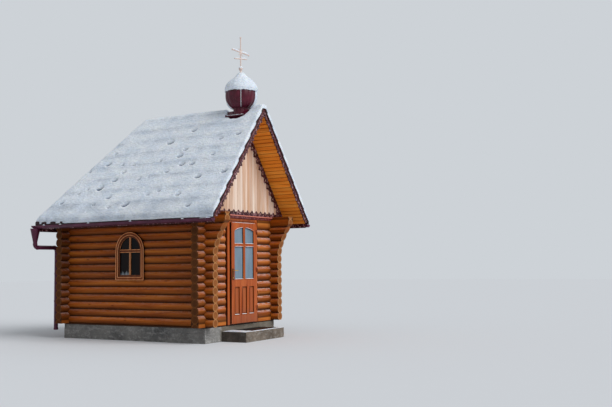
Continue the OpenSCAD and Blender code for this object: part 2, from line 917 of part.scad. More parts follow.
// Outer face of the windows' glass, and the depth of its rebate behind the bars
pane_x = face_x + casing_t - glass_depth;
rebate = 20;

// A window with its lining, casing, bars and the rebate for its glass
module side_window() {
    sash_x = -face_x - casing_t * 0.5;
    sash_w = lining_t * 0.8;
    sash_step = 8;
    spring_z = foundation_h + win_z + win_h;
    color(color_door) difference() {
        union() {
            window_hole(lining_t + casing_w, -face_x - casing_t, -face_x);
            window_hole(lining_t, -face_x, -face_x + log_d);
        }
        difference() {
            window_hole(0, -face_x - casing_t - 1, -face_x + log_d + 1);
            block([-face_x - casing_t, -win_bar / 2, 0], [-pane_x, win_bar / 2, ridge_z]);
            block([-face_x - casing_t, -win_w, spring_z - win_bar],
                [-pane_x, win_w, spring_z + win_bar * 0.4]);
        }
        window_hole(sash_w, -face_x - casing_t - 1, sash_x);
        window_hole(0, -face_x - casing_t - 1, sash_x + sash_step);
        window_hole(rebate, -pane_x, -face_x + log_d + 1);
    }
}

module left_window() { side_window(); }
module right_window() { mirror([1, 0, 0]) side_window(); }

// One pane behind the bars of each window
module window_glass() {
    color("lightsteelblue") for (side = [0, 1]) {
        mirror([side, 0, 0]) window_hole(rebate - 1, -pane_x, -pane_x + glass_t);
    }
}

door_top = header_top - head_show;
// The frame stands 5 mm out from the wall, and the leaf closes in front of it
frame_front = -face_y - 5;
leaf_back = frame_front - door_gap;
leaf_front = leaf_back - leaf_t;
leaf_mid = (leaf_front + leaf_back) / 2;

// Frame of the door, standing on the bedding board between the cut logs
module door_frame() {
    clear_x = leaf_w / 2 - leaf_lap;
    clear_z0 = foundation_h + leaf_z + leaf_lap;
    clear_z1 = door_top - leaf_lap;
    bead_t = 12;
    bead_w = jamb_show * 0.45;
    color(color_door) difference() {
        union() {
            block([-jamb_x, frame_front, wall_z], [jamb_x, -end_y, header_top]);
            block([-rough_x, -end_y - log_r * 0.5, wall_z], [rough_x, -end_y + log_r, header_top]);
            difference() {
                block([-jamb_x, frame_front - bead_t, wall_z], [jamb_x, frame_front + 1, header_top]);
                block([-jamb_x + bead_w, frame_front - bead_t - 1, 0],
                    [jamb_x - bead_w, frame_front + 2, header_top - bead_w]);
            }
        }
        block([-clear_x, frame_front - 1, clear_z0], [clear_x, -end_y + log_r + 1, clear_z1]);
    }
}

leaf_x = leaf_w / 2;
glass_half = leaf_x - stile_w;
glass_z0 = foundation_h + light_z;
// Spring of the arch, so that the top rail is as wide as a stile over the arch
glass_z1 = door_top - stile_w - arch_rise;
bar_half = door_bar / 2;
cross_bar_z = foundation_h + bar_z;
arch_r = (glass_half * glass_half + arch_rise * arch_rise) / (2 * arch_rise);
// Lap of the door's glass and its beads behind the edge of the light
bead_lap = 13;

// Outline of the door's glass with its low arch, grown by a margin
module door_arch(margin) {
    intersection() {
        translate([-glass_half - margin, glass_z0 - margin])
            square([2 * (glass_half + margin), glass_z1 - glass_z0 + arch_rise + 2 * margin]);
        translate([0, glass_z1 + arch_rise - arch_r]) circle(r = arch_r + margin, $fn = 96);
    }
}

// The upright and level bars of the door's glass
module door_bars(y0, y1) {
    block([-bar_half, y0, glass_z0 - 20], [bar_half, y1, glass_z1 + arch_rise + 20]);
    block([-glass_half - 20, y0, cross_bar_z], [glass_half + 20, y1, cross_bar_z + 2 * bar_half]);
}

// The leaf: stiles, rails, three panels below and a glazed light above
module door_leaf() {
    panel_gap = (2 * glass_half - 3 * panel_w) / 2;
    recess = leaf_t * 0.45;
    field = 30;
    panel_z0 = foundation_h + panel_z;
    panel_z1 = panel_z0 + panel_h;
    color(color_door) difference() {
        block([-leaf_x, leaf_front, foundation_h + leaf_z], [leaf_x, leaf_back, door_top]);
        difference() {
            along_y(leaf_front - 1, leaf_mid) door_arch(0);
            door_bars(leaf_front - 2, leaf_mid + 1);
        }
        along_y(leaf_mid, leaf_back + 1) door_arch(bead_lap + 1);
        for (i = [0 : 2]) {
            x = -glass_half + i * (panel_w + panel_gap);
            difference() {
                block([x, leaf_front - 1, panel_z0], [x + panel_w, leaf_front + recess, panel_z1]);
                block([x + field, leaf_front + 4, panel_z0 + field],
                    [x + panel_w - field, leaf_front + recess + 1, panel_z1 - field]);
            }
        }
    }
}

module door_glass() {
    color("lightblue") along_y(leaf_mid, leaf_mid + glass_t) door_arch(bead_lap);
}

// Beads that hold the glass from inside
module door_beads() {
    bead_in = 8;
    color(color_door) difference() {
        along_y(leaf_mid + glass_t, leaf_back) door_arch(bead_lap);
        difference() {
            along_y(leaf_mid, leaf_back + 1) door_arch(-bead_in);
            door_bars(leaf_mid - 1, leaf_back + 2);
        }
    }
}

hinge_r = 9;
pin_r = 5;
hinge_x = leaf_x + 12;
hinge_y = leaf_front - 8;
knuckle_h = 50;
flap_t = 3;
hinge_in = 230;
hinge_low = foundation_h + leaf_z + hinge_in;
hinge_high = door_top - hinge_in;
hinge_zs = [hinge_low, (hinge_low + hinge_high) / 2, hinge_high];

// Lower knuckles with their pins, on flaps fixed to the frame
module hinge_pins() {
    flap_w = 36;
    pin_h = 2 * knuckle_h - 5;
    frame = frame_front - hinge_y;
    color("dimgray") for (z = hinge_zs) {
        translate([hinge_x, hinge_y, z]) {
            cylinder(r = hinge_r, h = knuckle_h);
            cylinder(r = pin_r, h = pin_h);
            block([0, -hinge_r, 0], [flap_t, frame, knuckle_h]);
            block([0, frame - flap_t, 0], [flap_w, frame, knuckle_h]);
        }
    }
}

// Upper knuckles on flaps fixed to the leaf's face
module hinge_knuckles() {
    flap_w = 50;
    leaf = leaf_front - hinge_y;
    color("dimgray") for (z = hinge_zs) {
        translate([hinge_x, hinge_y, z + knuckle_h + 1]) difference() {
            union() {
                cylinder(r = hinge_r, h = knuckle_h);
                block([-flap_w, leaf - flap_t, 0], [0, leaf, knuckle_h]);
            }
            translate([0, 0, -1]) cylinder(r = pin_r + pin_gap, h = knuckle_h + 2);
        }
    }
}

// Lever handle with its plate and the lock's cylinder
module door_handle() {
    x = stile_w * 0.42 - leaf_x;
    z = foundation_h + handle_z;
    plate_t = 6;
    plate_half = 20;
    grip_r = 9;
    grip_l = 125;
    stand = 50;
    lock_r = 11;
    lock_drop = 150;
    color("goldenrod") {
        block([x - plate_half, leaf_front - plate_t, z - lock_drop - 2 * plate_half],
            [x + plate_half, leaf_front, z + 2 * plate_half]);
        translate([x, leaf_front - plate_t, z]) rotate([90, 0, 0])
            cylinder(r = grip_r, h = stand - plate_t);
        translate([x - grip_r, leaf_front - stand, z]) rotate([0, 90, 0]) cylinder(r = grip_r, h = grip_l);
        translate([x, leaf_front - plate_t, z - lock_drop]) rotate([90, 0, 0])
            cylinder(r = lock_r, h = plate_t);
    }
}

// Solid concrete foundation
module foundation() {
    x = face_x - foundation_setback;
    y = face_y - foundation_setback;
    color(color_concrete) block([-x, -y, 0], [x, y, foundation_h]);
}

module entrance_step() {
    y = -face_y + foundation_setback;
    color(color_concrete) block([-step_w / 2, y - step_l, 0], [step_w / 2, y, foundation_h - step_drop]);
}

// Boards between the foundation and the sill logs
module bedding_boards() {
    x = face_x - foundation_setback;
    y = face_y - foundation_setback;
    inner = log_r * 0.5;
    color(color_end) {
        for (side = [-1, 1]) {
            scale([side, 1, 1]) block([side_x - inner, -y, foundation_h], [x, y, wall_z]);
            scale([1, side, 1]) block([-side_x + inner, end_y - inner, foundation_h],
                [side_x - inner, y, wall_z]);
        }
    }
}

module floor_boards() {
    x = side_x - log_r;
    y = end_y - log_r;
    color(color_pale) block([-x, -y, foundation_h], [x, y, foundation_h + floor_t]);
}

foundation();
entrance_step();
bedding_boards();
floor_boards();
left_logs_even();
left_logs_odd();
right_logs_even();
right_logs_odd();
rear_logs_even();
rear_logs_odd();
front_logs_even();
front_logs_odd();
left_plate();
right_plate();
gable_beams();
tie_beams();
blocking_boards();
gable_boards();
gable_lace();
cornice_moulding();
roof_deck_left();
roof_deck_right();
roof_deck_rear();
roof_metal_left();
roof_metal_right();
roof_metal_rear();
ridge_cap();
barge_boards();
barge_lace();
fascia_boards();
gutter_left();
gutter_right();
gutter_rear();
downpipe();
dome_base();
dome_drum();
dome();
roof_cross();
left_window();
right_window();
window_glass();
door_frame();
hinge_pins();
door_leaf();
door_glass();
door_beads();
hinge_knuckles();
door_handle();
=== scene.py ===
"""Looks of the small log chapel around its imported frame. Lengths are in metres."""

import json
import math
import random

import bmesh
import bpy
from mathutils import Matrix, Vector, noise

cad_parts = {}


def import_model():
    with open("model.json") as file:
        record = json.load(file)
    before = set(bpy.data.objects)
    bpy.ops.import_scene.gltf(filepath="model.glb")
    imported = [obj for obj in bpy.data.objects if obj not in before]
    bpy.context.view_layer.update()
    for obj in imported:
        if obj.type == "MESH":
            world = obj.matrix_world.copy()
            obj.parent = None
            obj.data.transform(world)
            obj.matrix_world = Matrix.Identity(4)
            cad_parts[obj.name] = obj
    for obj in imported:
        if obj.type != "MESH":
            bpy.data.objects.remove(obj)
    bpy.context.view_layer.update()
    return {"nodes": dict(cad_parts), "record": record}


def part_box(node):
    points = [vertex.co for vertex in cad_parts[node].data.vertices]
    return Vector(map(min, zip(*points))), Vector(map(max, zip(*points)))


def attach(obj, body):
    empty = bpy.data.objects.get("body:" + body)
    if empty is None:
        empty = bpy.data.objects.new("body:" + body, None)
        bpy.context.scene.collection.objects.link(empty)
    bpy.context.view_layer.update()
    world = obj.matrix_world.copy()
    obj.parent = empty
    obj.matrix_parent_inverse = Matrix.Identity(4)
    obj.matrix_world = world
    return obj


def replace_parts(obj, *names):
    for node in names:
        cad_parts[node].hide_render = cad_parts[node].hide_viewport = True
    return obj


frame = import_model()
nodes = frame["nodes"]

# Main sizes, read from the frame
metal_lo, metal_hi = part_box("roof_metal_left")
rear_lo, rear_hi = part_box("roof_metal_rear")
gable_lo, gable_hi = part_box("gable_boards")
edging_lo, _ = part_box("gable_lace")
_, barge_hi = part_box("barge_boards")
_, fascia_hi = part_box("fascia_boards")
gutter_lo, gutter_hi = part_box("gutter_left")
_, rear_gutter_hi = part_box("gutter_rear")
pipe_lo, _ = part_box("downpipe")
found_lo, found_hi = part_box("foundation")
step_lo, step_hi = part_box("entrance_step")
sill_lo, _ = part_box("left_logs_even")
rear_log_lo, rear_log_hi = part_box("rear_logs_even")
plate_lo, plate_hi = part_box("left_plate")
dome_lo, dome_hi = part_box("dome")
_, cross_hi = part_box("roof_cross")
leaf_lo, leaf_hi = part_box("door_leaf")
jamb_lo, jamb_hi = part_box("door_frame")
window_lo, window_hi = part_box("left_window")

# Walls: height of a course and radius of a log, lines of the walls and their outer faces
COURSE = 0.156
LOG_R = 0.090
SIDE_X = -(plate_lo.x + plate_hi.x) / 2
FACE_X = -plate_lo.x
END_Y = (rear_log_lo.y + rear_log_hi.y) / 2
FACE_Y = END_Y + LOG_R
WALL_Z = sill_lo.z
CASING_X = FACE_X + 0.030
BOARD_W = 0.095

# Roof: thickness of the covering, run of a tile course and half the flat of the ridge
COVER = 0.030
TILE_RUN = 0.2137
RIDGE_FLAT = 0.042
RIDGE_Z = metal_hi.z
EAVE_Z = rear_lo.z + COVER
ROOF_X = -metal_lo.x
ROOF_Y0, ROOF_Y1 = metal_lo.y, rear_hi.y
HIP_Y = rear_lo.y
HIP_RUN = ROOF_Y1 - HIP_Y
SLOPE = (RIDGE_Z - EAVE_Z) / (ROOF_X - RIDGE_FLAT)
APEX_Z = RIDGE_Z + SLOPE * RIDGE_FLAT
HIP_SLOPE = (APEX_Z - EAVE_Z) / HIP_RUN
PITCH = math.atan(SLOPE)
HIP_PITCH = math.atan(HIP_SLOPE)
SOFFIT_DROP = APEX_Z - gable_hi.z

# Dome: its widest place, and the seam that shows to the front left
DOME_Y = (dome_lo.y + dome_hi.y) / 2
DOME_R = (dome_hi.x - dome_lo.x) / 2
DOME_BELLY = RIDGE_Z + 0.330
SEAM_TURN = math.radians(214)

# Band of painted highlight and rime atop the cornice moulding, its foot and its top
CORNICE_HIGHLIGHT_Z = (2.526, 2.553)

BODY = "chapel"


def srgb(r, g, b):
    """Linear colour of an sRGB triple from 0 to 255."""
    out = []
    for v in (r, g, b):
        v = v / 255
        out.append(v / 12.92 if v <= 0.04045 else ((v + 0.055) / 1.055) ** 2.4)
    return tuple(out) + (1.0,)


def tones(*triples):
    """Dark, middle and light colours."""
    return tuple(srgb(*triple) for triple in triples)


# Materials

mats = {}


class Value:
    """An output in a node tree, open to plain arithmetic."""

    def __init__(self, owner, socket):
        self.owner, self.socket = owner, socket

    def __add__(self, other):
        return self.owner.math("ADD", self, other)

    def __sub__(self, other):
        return self.owner.math("SUBTRACT", self, other)

    def __rsub__(self, other):
        return self.owner.math("SUBTRACT", other, self)

    def __mul__(self, other):
        return self.owner.math("MULTIPLY", self, other)

    def __truediv__(self, other):
        return self.owner.math("DIVIDE", self, other)

    def __abs__(self):
        return self.owner.math("ABSOLUTE", self)


class Nodes:
    """The node tree of a material or a world, built from short calls."""

    def __init__(self, owner):
        owner.use_nodes = True
        self.tree = owner.node_tree
        self.tree.nodes.clear()

    def feed(self, socket, value):
        """Links an output to a socket, or sets a plain value there."""
        if isinstance(value, Value):
            self.tree.links.new(value.socket, socket)
        else:
            socket.default_value = value

    def node(self, kind, inputs, output=0, **settings):
        """An output of a new node, whose inputs take outputs or plain values."""
        new = self.tree.nodes.new(kind)
        for key, value in settings.items():
            setattr(new, key, value)
        for key, value in inputs.items():
            self.feed(new.inputs[key], value)
        return Value(self, new.outputs[output]) if new.outputs else None

    def math(self, operation, *values):
        return self.node("ShaderNodeMath", dict(enumerate(values)), operation=operation)


class Shader(Nodes):
    """A material round one main shader, listed in mats by its name."""

    def __init__(self, name):
        mats[name] = bpy.data.materials.new(name)
        super().__init__(mats[name])
        surface = self.node("ShaderNodeBsdfPrincipled", {})
        self.main = surface.socket.node
        self.node("ShaderNodeOutputMaterial", {0: surface})
        self.place = self.node("ShaderNodeTexCoord", {}, "Object")
        self.normal = Value(self, self.place.socket.node.outputs["Normal"])

    def finish(self, **inputs):
        """Feeds the main shader, whose inputs are named with _ for a space."""
        for key, value in inputs.items():
            self.feed(self.main.inputs[key.replace("_", " ")], value)

    def vector(self, operation, a, b=(0.0, 0.0, 0.0), output="Vector"):
        return self.node("ShaderNodeVectorMath", {0: a, 1: b}, output, operation=operation)

    def split(self, vector):
        first = self.node("ShaderNodeSeparateXYZ", {0: vector})
        return [Value(self, socket) for socket in first.socket.node.outputs]

    def join(self, x, y, z):
        return self.node("ShaderNodeCombineXYZ", {0: x, 1: y, 2: z})

    def stretched(self, axis, across, along):
        """Object coordinates scaled so that a pattern runs along one axis."""
        scale = [across] * 3
        scale[axis] = along
        return self.vector("MULTIPLY", self.place, tuple(scale))

    def noise(self, vector, scale, detail=4.0, rough=0.5, warp=0.0):
        inputs = {"Vector": vector, "Scale": scale, "Detail": detail, "Roughness": rough,
                  "Distortion": warp}
        return self.node("ShaderNodeTexNoise", inputs, "Fac")

    def random(self, value):
        """A white noise number from 0 to 1 for each value."""
        return self.node("ShaderNodeTexWhiteNoise", {"W": value}, "Value", noise_dimensions="1D")

    def cells(self, vector, scale):
        """Distance to the nearest of scattered points."""
        return self.node("ShaderNodeTexVoronoi", {"Vector": vector, "Scale": scale}, "Distance")

    def ramp(self, value, stops):
        """A colour ramp; stops are (position, colour)."""
        colour = self.node("ShaderNodeValToRGB", {0: value})
        elements = colour.socket.node.color_ramp.elements
        while len(elements) < len(stops):
            elements.new(0.5)
        for element, (place, tone) in zip(elements, stops):
            element.position = place
            element.color = tone
        return colour

    def range(self, value, low, high, out_low=0.0, out_high=1.0):
        """A value taken from one range to another, and held there."""
        inputs = {"Value": value, "From Min": low, "From Max": high, "To Min": out_low,
                  "To Max": out_high}
        return self.node("ShaderNodeMapRange", inputs)

    def mix(self, factor, a, b, blend="MIX"):
        """Two colours mixed; the node's colour sockets are inputs 6 and 7 and output 2."""
        inputs = {0: factor, 6: a, 7: b}
        return self.node("ShaderNodeMix", inputs, 2, data_type="RGBA", blend_type=blend)

    def shade(self, colour, factor):
        """A colour made darker or lighter by a factor."""
        return self.mix(1.0, colour, self.join(factor, factor, factor), "MULTIPLY")

    def bump(self, height, strength, distance, under=None):
        inputs = {"Height": height, "Strength": strength, "Distance": distance}
        if under is not None:
            inputs["Normal"] = under
        return self.node("ShaderNodeBump", inputs)


def wood_layers(s, axis, tone):
    """Grain colour with knots, and grain height, of wood that runs along an axis."""
    dark, middle, light = tone
    fine = s.noise(s.stretched(axis, 90, 1.6), 1.0, 5.0, 0.6)
    broad = s.noise(s.stretched(axis, 11, 0.7), 1.0, 3.0, 0.5, 0.6)
    grain = s.ramp(fine * 0.45 + broad * 0.75, [(0.30, dark), (0.56, middle), (0.86, light)])
    knot = s.range(s.cells(s.stretched(axis, 7.0, 2.2), 1.0), 0.05, 0.12, 1.0, 0.0)
    return s.mix(knot * 0.75, grain, dark), fine


def log_material(name, axis, tone, end_tone, rime_and_reflection):
    """Varnished round logs along an axis: 1 for the side walls, 0 for the front and rear."""
    s = Shader(name)
    grain, fine = wood_layers(s, axis, tone)
    x, y, z = s.split(s.place)
    if axis == 1:
        middle, off_wall, wall = WALL_Z + COURSE / 2, x, SIDE_X
    else:
        middle, off_wall, wall = WALL_Z, y, END_Y
    course = s.math("FLOOR", (z - (middle - COURSE / 2)) / COURSE)
    # The white noise needs the very number that one multiply-add gives
    chance = s.random(s.math("MULTIPLY_ADD", course, 3.7, s.math("SIGN", off_wall)))
    grain = s.mix(s.range(chance, 0, 1, 0.0, 0.35), grain, tone[0])
    grain = s.shade(grain, s.range(s.random(chance * 91.7), 0, 1, 0.86, 1.12))
    if axis == 0:
        # Painted shade darkens the rear wall and the ends, leaving the front brightest
        grain = s.shade(grain, s.range(y, -1.0, 1.0, 1.0, 0.74))
        grain = s.shade(grain, s.range(abs(x), 0.98, 1.10, 1.0, 0.66))
    # Shade gathers in the lower half and in the seams
    height = z - s.math("MULTIPLY_ADD", course, COURSE, middle)
    low = s.range(height, -0.078, 0.020, 0.20, 1.12)
    high = s.range(height, 0.058, 0.078, 1.0, 0.40)
    grain = s.shade(grain, low * high)
    # A long drying crack along some logs
    track = s.noise(s.stretched(axis, 0.0, 1.3), 1.0, 3.0) * 0.09 - 0.045
    crack = s.range(abs(height - track), 0.0006, 0.0022, 1.0, 0.0)
    crack = crack * s.range(s.noise(s.stretched(axis, 0.9, 1.1), 1.0, 2.0), 0.50, 0.56)
    grain = s.mix(crack * 0.85, grain, srgb(45, 20, 8))
    # Rime and painted sky reflection on the upper side, less on the stubs at the left
    normal = s.split(s.normal)
    rime = s.range(s.noise(s.stretched(axis, 40.0, 7.0), 1.0, 5.0, 0.75), 0.43, 0.57, 0.05, 1.0)
    rime = s.range(normal[2], 0.10, 0.62) * rime * rime_and_reflection
    if axis == 0:
        rime = rime * s.range(x, -1.34, -1.28, 0.5, 1.0)
    grain = s.mix(rime, grain, srgb(194, 160, 154))
    # Rings on the cut ends, with a pale rim inside the dark bark line
    radius = s.vector("LENGTH", s.join(abs(off_wall) - wall, height, 0.0), output="Value")
    rings = s.math("SINE", (s.noise(s.place, 14.0, 3.0) * 0.020 + radius) * 560.0)
    end = s.mix(s.range(rings, -1, 1), end_tone[0], end_tone[1])
    end = s.mix(s.range(s.noise(s.place, 9.0, 3.0), 0.3, 0.7, 0.0, 0.45), end, end_tone[0])
    end = s.mix(s.range(radius, 0.060, 0.074, 0.0, 0.60), end, end_tone[2])
    end = s.mix(s.range(radius, 0.078, 0.087, 0.0, 0.95), end, srgb(48, 24, 10))
    facing = s.range(abs(normal[axis]), 0.80, 0.92)
    s.finish(Base_Color=s.mix(facing, grain, end),
             Roughness=fine * 0.16 + (facing * 0.20 + 0.42),
             Normal=s.bump(fine * 0.4 - crack * 2.0, 0.5, 0.002),
             Specular_IOR_Level=0.12)


def board_material(name, axis, tone, gloss=0.4, boards=None, coat=0.0, face=None):
    """Planed wood. Boards, given by axis, width and spread, differ in tone; what stands
    back from a face, given by axis and place, is painted dark as shade."""
    s = Shader(name)
    grain, fine = wood_layers(s, axis, tone)
    place, normal = s.split(s.place), s.split(s.normal)
    if boards:
        across, width, spread = boards
        chance = s.random(s.math("FLOOR", place[across] / width))
        grain = s.mix(s.range(chance, 0, 1, 0.0, spread), grain, tone[0])
        grain = s.shade(grain, s.range(s.random(chance * 37.3), 0, 1, 0.90, 1.08))
    if face:
        outward, plane = face
        door = outward == 1
        depth = plane - abs(place[outward])
        if door:
            # The frame beside the leaf stands back but gets no painted shade
            beside = s.range(abs(place[0]), leaf_hi.x + 0.002, leaf_hi.x + 0.004, 0.0, 0.052)
            depth = depth - beside
        aside = s.range(abs(normal[outward]), 0.45, 0.75, 1.0, 0.30)
        # Painted shade on what stands back from the face
        grain = s.mix(s.range(depth, 0.001, 0.006) * aside, grain, srgb(22, 10, 8))
        if door:
            # Duller, greyer brown in patches towards the foot of the leaf
            dull_foot = s.range(place[2], 0.44, 0.64, 0.5, 0.0) * s.range(fine, 0.4, 0.6)
            grain = s.mix(dull_foot, grain, srgb(122, 78, 62))
    s.finish(Base_Color=grain, Roughness=fine * 0.2 + gloss,
             Normal=s.bump(fine, 0.35, 0.0012), Coat_Weight=coat, Coat_Roughness=0.3,
             Specular_IOR_Level=0.18)


def painted_material(name, colour, worn, gloss=0.4, coat=0.0, rime_and_reflection=0.0, speckle=0.0,
                     highlight_band=None):
    """Smooth paint with faint clouds and dust; rime patches with painted sky reflection on what
    faces up; the last argument colours a band of painted highlight and rime on the cornice."""
    s = Shader(name)
    clouds = s.noise(s.place, 5.0, 5.0, 0.6)
    dust = s.range(s.noise(s.place, 60.0, 3.0), 0.55, 0.75)
    base = s.mix(s.range(clouds, 0.35, 0.7), colour, worn)
    base = s.mix(dust * 0.25, base, worn)
    # A band of painted highlight and rime along the top of the cornice
    if highlight_band:
        z = s.split(s.place)[2]
        low, high = CORNICE_HIGHLIGHT_Z
        line = s.range(z, low, low + 0.005) * s.range(z, high - 0.004, high, 1.0, 0.0)
        base = s.mix(line, base, highlight_band)
    if speckle:
        patches = s.range(s.noise(s.place, 21.0, 3.0, 0.6), 0.54, 0.62, 0.0, speckle)
        base = s.mix(patches, base, srgb(206, 160, 164))
    # Rime and a painted reflection of the pale sky on faces turned up
    if rime_and_reflection:
        upper = s.range(s.split(s.normal)[2], 0.25, 0.7)
        rime = s.range(s.noise(s.place, 26.0, 4.0, 0.7), 0.36, 0.60)
        base = s.mix(upper * rime * rime_and_reflection, base, srgb(216, 196, 206))
    s.finish(Base_Color=base, Roughness=clouds * 0.2 + (gloss - 0.1),
             Normal=s.bump(s.noise(s.place, 140.0, 2.0), 0.12, 0.0006),
             Coat_Weight=coat, Coat_Roughness=0.15, Specular_IOR_Level=0.25)


def dome_material():
    """Dark painted sheet, a little worn, with streaks that run down."""
    s = Shader("dome_metal")
    clouds = s.noise(s.place, 5.0, 5.0, 0.6)
    streak = s.noise(s.stretched(2, 42.0, 2.5), 1.0, 4.0, 0.6)
    base = s.mix(s.range(clouds, 0.35, 0.7), srgb(66, 10, 28), srgb(92, 22, 42))
    base = s.mix(s.range(streak, 0.50, 0.70, 0.0, 0.45), base, srgb(122, 50, 70))
    s.finish(Base_Color=base, Roughness=clouds * 0.25 + 0.22,
             Normal=s.bump(streak, 0.15, 0.001),
             Coat_Weight=0.08, Coat_Roughness=0.2, Specular_IOR_Level=0.25)


def snow_material():
    """Settled snow, streaked down each slope. Its point attribute, from -0.5 to 1, paints shade
    in the hollows and a highlight on their rims."""
    s = Shader("snow")
    clouds = s.noise(s.place, 2.4, 5.0, 0.6)
    rear = s.range(s.split(s.normal)[1], 0.35, 0.55)
    side_streaks, rear_streaks = (s.noise(s.stretched(axis, 9.0, 1.5), 1.0, 5.0, 0.65)
                                  for axis in (1, 0))
    streaks = rear_streaks * rear + side_streaks * (1.0 - rear)
    base = s.ramp(clouds * 0.5 + streaks * 0.5, [
        (0.38, srgb(216, 227, 240)), (0.50, srgb(230, 238, 248)), (0.62, srgb(242, 248, 254))])
    fine = s.noise(s.stretched(1, 44.0, 13.0), 1.0, 3.0, 0.7)
    base = s.shade(base, s.range(fine, 0.34, 0.66, 0.88, 1.12))
    painted_shade = s.node("ShaderNodeAttribute", {}, "Fac", attribute_name="painted_shade")
    # Painted shade in the hollows and a painted highlight on their rims
    base = s.mix(s.range(painted_shade, 0.0, 1.0, 0.0, 0.95), base, srgb(72, 90, 114))
    base = s.mix(s.range(painted_shade, -0.5, 0.0, 0.9, 0.0), base, srgb(250, 252, 255))
    soft = s.bump(s.noise(s.stretched(1, 24.0, 14.0), 1.0, 5.0, 0.7), 0.9, 0.034)
    grains = s.noise(s.place, 110.0, 4.0, 0.7)
    s.finish(Base_Color=base, Roughness=0.6, Normal=s.bump(grains, 0.55, 0.006, soft),
             Subsurface_Weight=0.10, Subsurface_Radius=(0.02, 0.03, 0.05),
             Specular_IOR_Level=0.3)


def concrete_material(name, dark, light, lime, is_step=False):
    """Cast concrete with marks of its boards, pits and pale lime. On the step it has a puddle,
    and painted shade on the step's left end.
    """
    s = Shader(name)
    broad = s.noise(s.place, 2.2, 6.0, 0.62)
    fine = s.noise(s.place, 34.0, 6.0, 0.7)
    base = s.ramp(broad * 0.7 + fine * 0.3, [(0.34, dark), (0.66, light)])
    x, y, z = s.split(s.place)
    aside, ahead, upward = s.split(s.normal)
    seam = s.range(abs(s.math("FRACT", z / 0.1) - 0.5), 0.46, 0.5)
    base = s.mix(seam * 0.4, base, dark)
    spots = s.range(s.noise(s.stretched(2, 9.0, 16.0), 1.0, 7.0, 0.75), 0.50, 0.62)
    base = s.mix(spots * lime, base, srgb(196, 194, 192))
    pits = s.range(s.cells(s.place, 40.0), 0.05, 0.2)
    rough, gloss = 0.85, 0.5
    if is_step:
        # A puddle on the tread, and painted shade, less rough, on the step's left end
        shift = s.noise(s.place, 7.0, 4.0, 0.6) * 0.4 - 0.2
        puddle_and_shade = s.range(abs(x + shift - 0.14), 0.50, 0.58, 1.0, 0.0)
        puddle_and_shade = puddle_and_shade * s.range(y + shift * 0.5, -2.40, -2.35) * s.range(upward, 0.6, 0.9)
        puddle_and_shade = s.math("MAXIMUM", puddle_and_shade, s.range(aside, -0.8, -0.5, 0.50, 0.0))
        base = s.mix(puddle_and_shade, base, srgb(16, 18, 24))
        rough, gloss = s.range(puddle_and_shade, 0.0, 1.0, 0.85, 0.40), 0.15
    else:
        # The front beside the step is lighter from painted light and pale rime; brown behind it
        front = s.range(ahead, -0.9, -0.6, 1.0, 0.0)
        beside = front * s.range(x, step_lo.x - 0.06, step_lo.x + 0.04, 1.0, 0.0)
        base = s.mix((front - beside) * 0.55, base, srgb(112, 98, 78))
        base = s.shade(base, beside * 0.48 + 1.0)
    s.finish(Base_Color=base, Roughness=rough, Specular_IOR_Level=gloss,
             Normal=s.bump(fine * 0.6 + pits * 0.4 - seam, 0.6, 0.004))


def glass_material(name, dark, pale, rough, grain, rime_and_reflection_z):
    """Opaque glass, the unlit room behind it and streaks of reflection painted into its colour;
    rime with a painted pale reflection fades out between two heights. A grained one is
    patterned."""
    s = Shader(name)
    streak = s.noise(s.stretched(2, 6.0, 1.2), 1.0, 3.0)
    base = s.mix(s.range(streak, 0.35, 0.65, 0.0, 0.5), dark, pale)
    if grain:
        speck = s.noise(s.place, grain, 2.0, 0.7)
        base = s.mix(s.range(speck, 0.38, 0.62) * 0.35, base, pale)
        s.finish(Normal=s.bump(speck, 0.4, 0.002))
    low, high = rime_and_reflection_z
    _, y, z = s.split(s.place)
    # Rime and a painted pale reflection rise in tongues from the foot of the pane
    tongues = s.noise(s.stretched(2, 26.0, 5.0), 1.0, 4.0, 0.65)
    level = tongues * (high - low) + z + s.range(y, -0.03, 0.0, 0.08, 0.0)
    rime_and_reflection = s.range(level, low + 0.5 * (high - low), high, 0.8, 0.0)
    s.finish(Base_Color=s.mix(rime_and_reflection, base, srgb(196, 206, 214)),
             Roughness=rime_and_reflection * 0.5 + rough, Specular_IOR_Level=0.10)


def cross_material():
    """Pale coated metal, faintly brushed."""
    s = Shader("cross_metal")
    brushed = s.noise(s.stretched(2, 160.0, 6.0), 1.0, 3.0)
    pale = srgb(226, 204, 194)
    dull = tuple(0.6 * c for c in pale[:3]) + (1.0,)
    s.finish(Base_Color=s.mix(s.range(brushed, 0.3, 0.7, 0.0, 0.3), pale, dull),
             Roughness=brushed * 0.2 + 0.4, Metallic=0.1)


def lever_material():
    """A dark bronze plate with a bright worn lever and cylinder, which stand proud of it."""
    s = Shader("brass")
    plate_y = leaf_lo.y - 0.007
    proud = s.range(s.split(s.place)[1], plate_y - 0.0005, plate_y + 0.0005, 1.0, 0.0)
    cloud = s.range(s.noise(s.place, 120.0, 3.0), 0.4, 0.65)
    plate = s.mix(cloud, srgb(58, 40, 26), srgb(112, 84, 44))
    lever = s.mix(cloud, srgb(214, 170, 84), srgb(240, 204, 120))
    s.finish(Base_Color=s.mix(proud, plate, lever), Roughness=cloud * 0.15 + 0.25,
             Metallic=0.8)


SIDE_TONE = tones((94, 38, 6), (164, 82, 18), (204, 120, 40))
FRONT_TONE = tones((112, 50, 14), (176, 92, 32), (206, 132, 64))
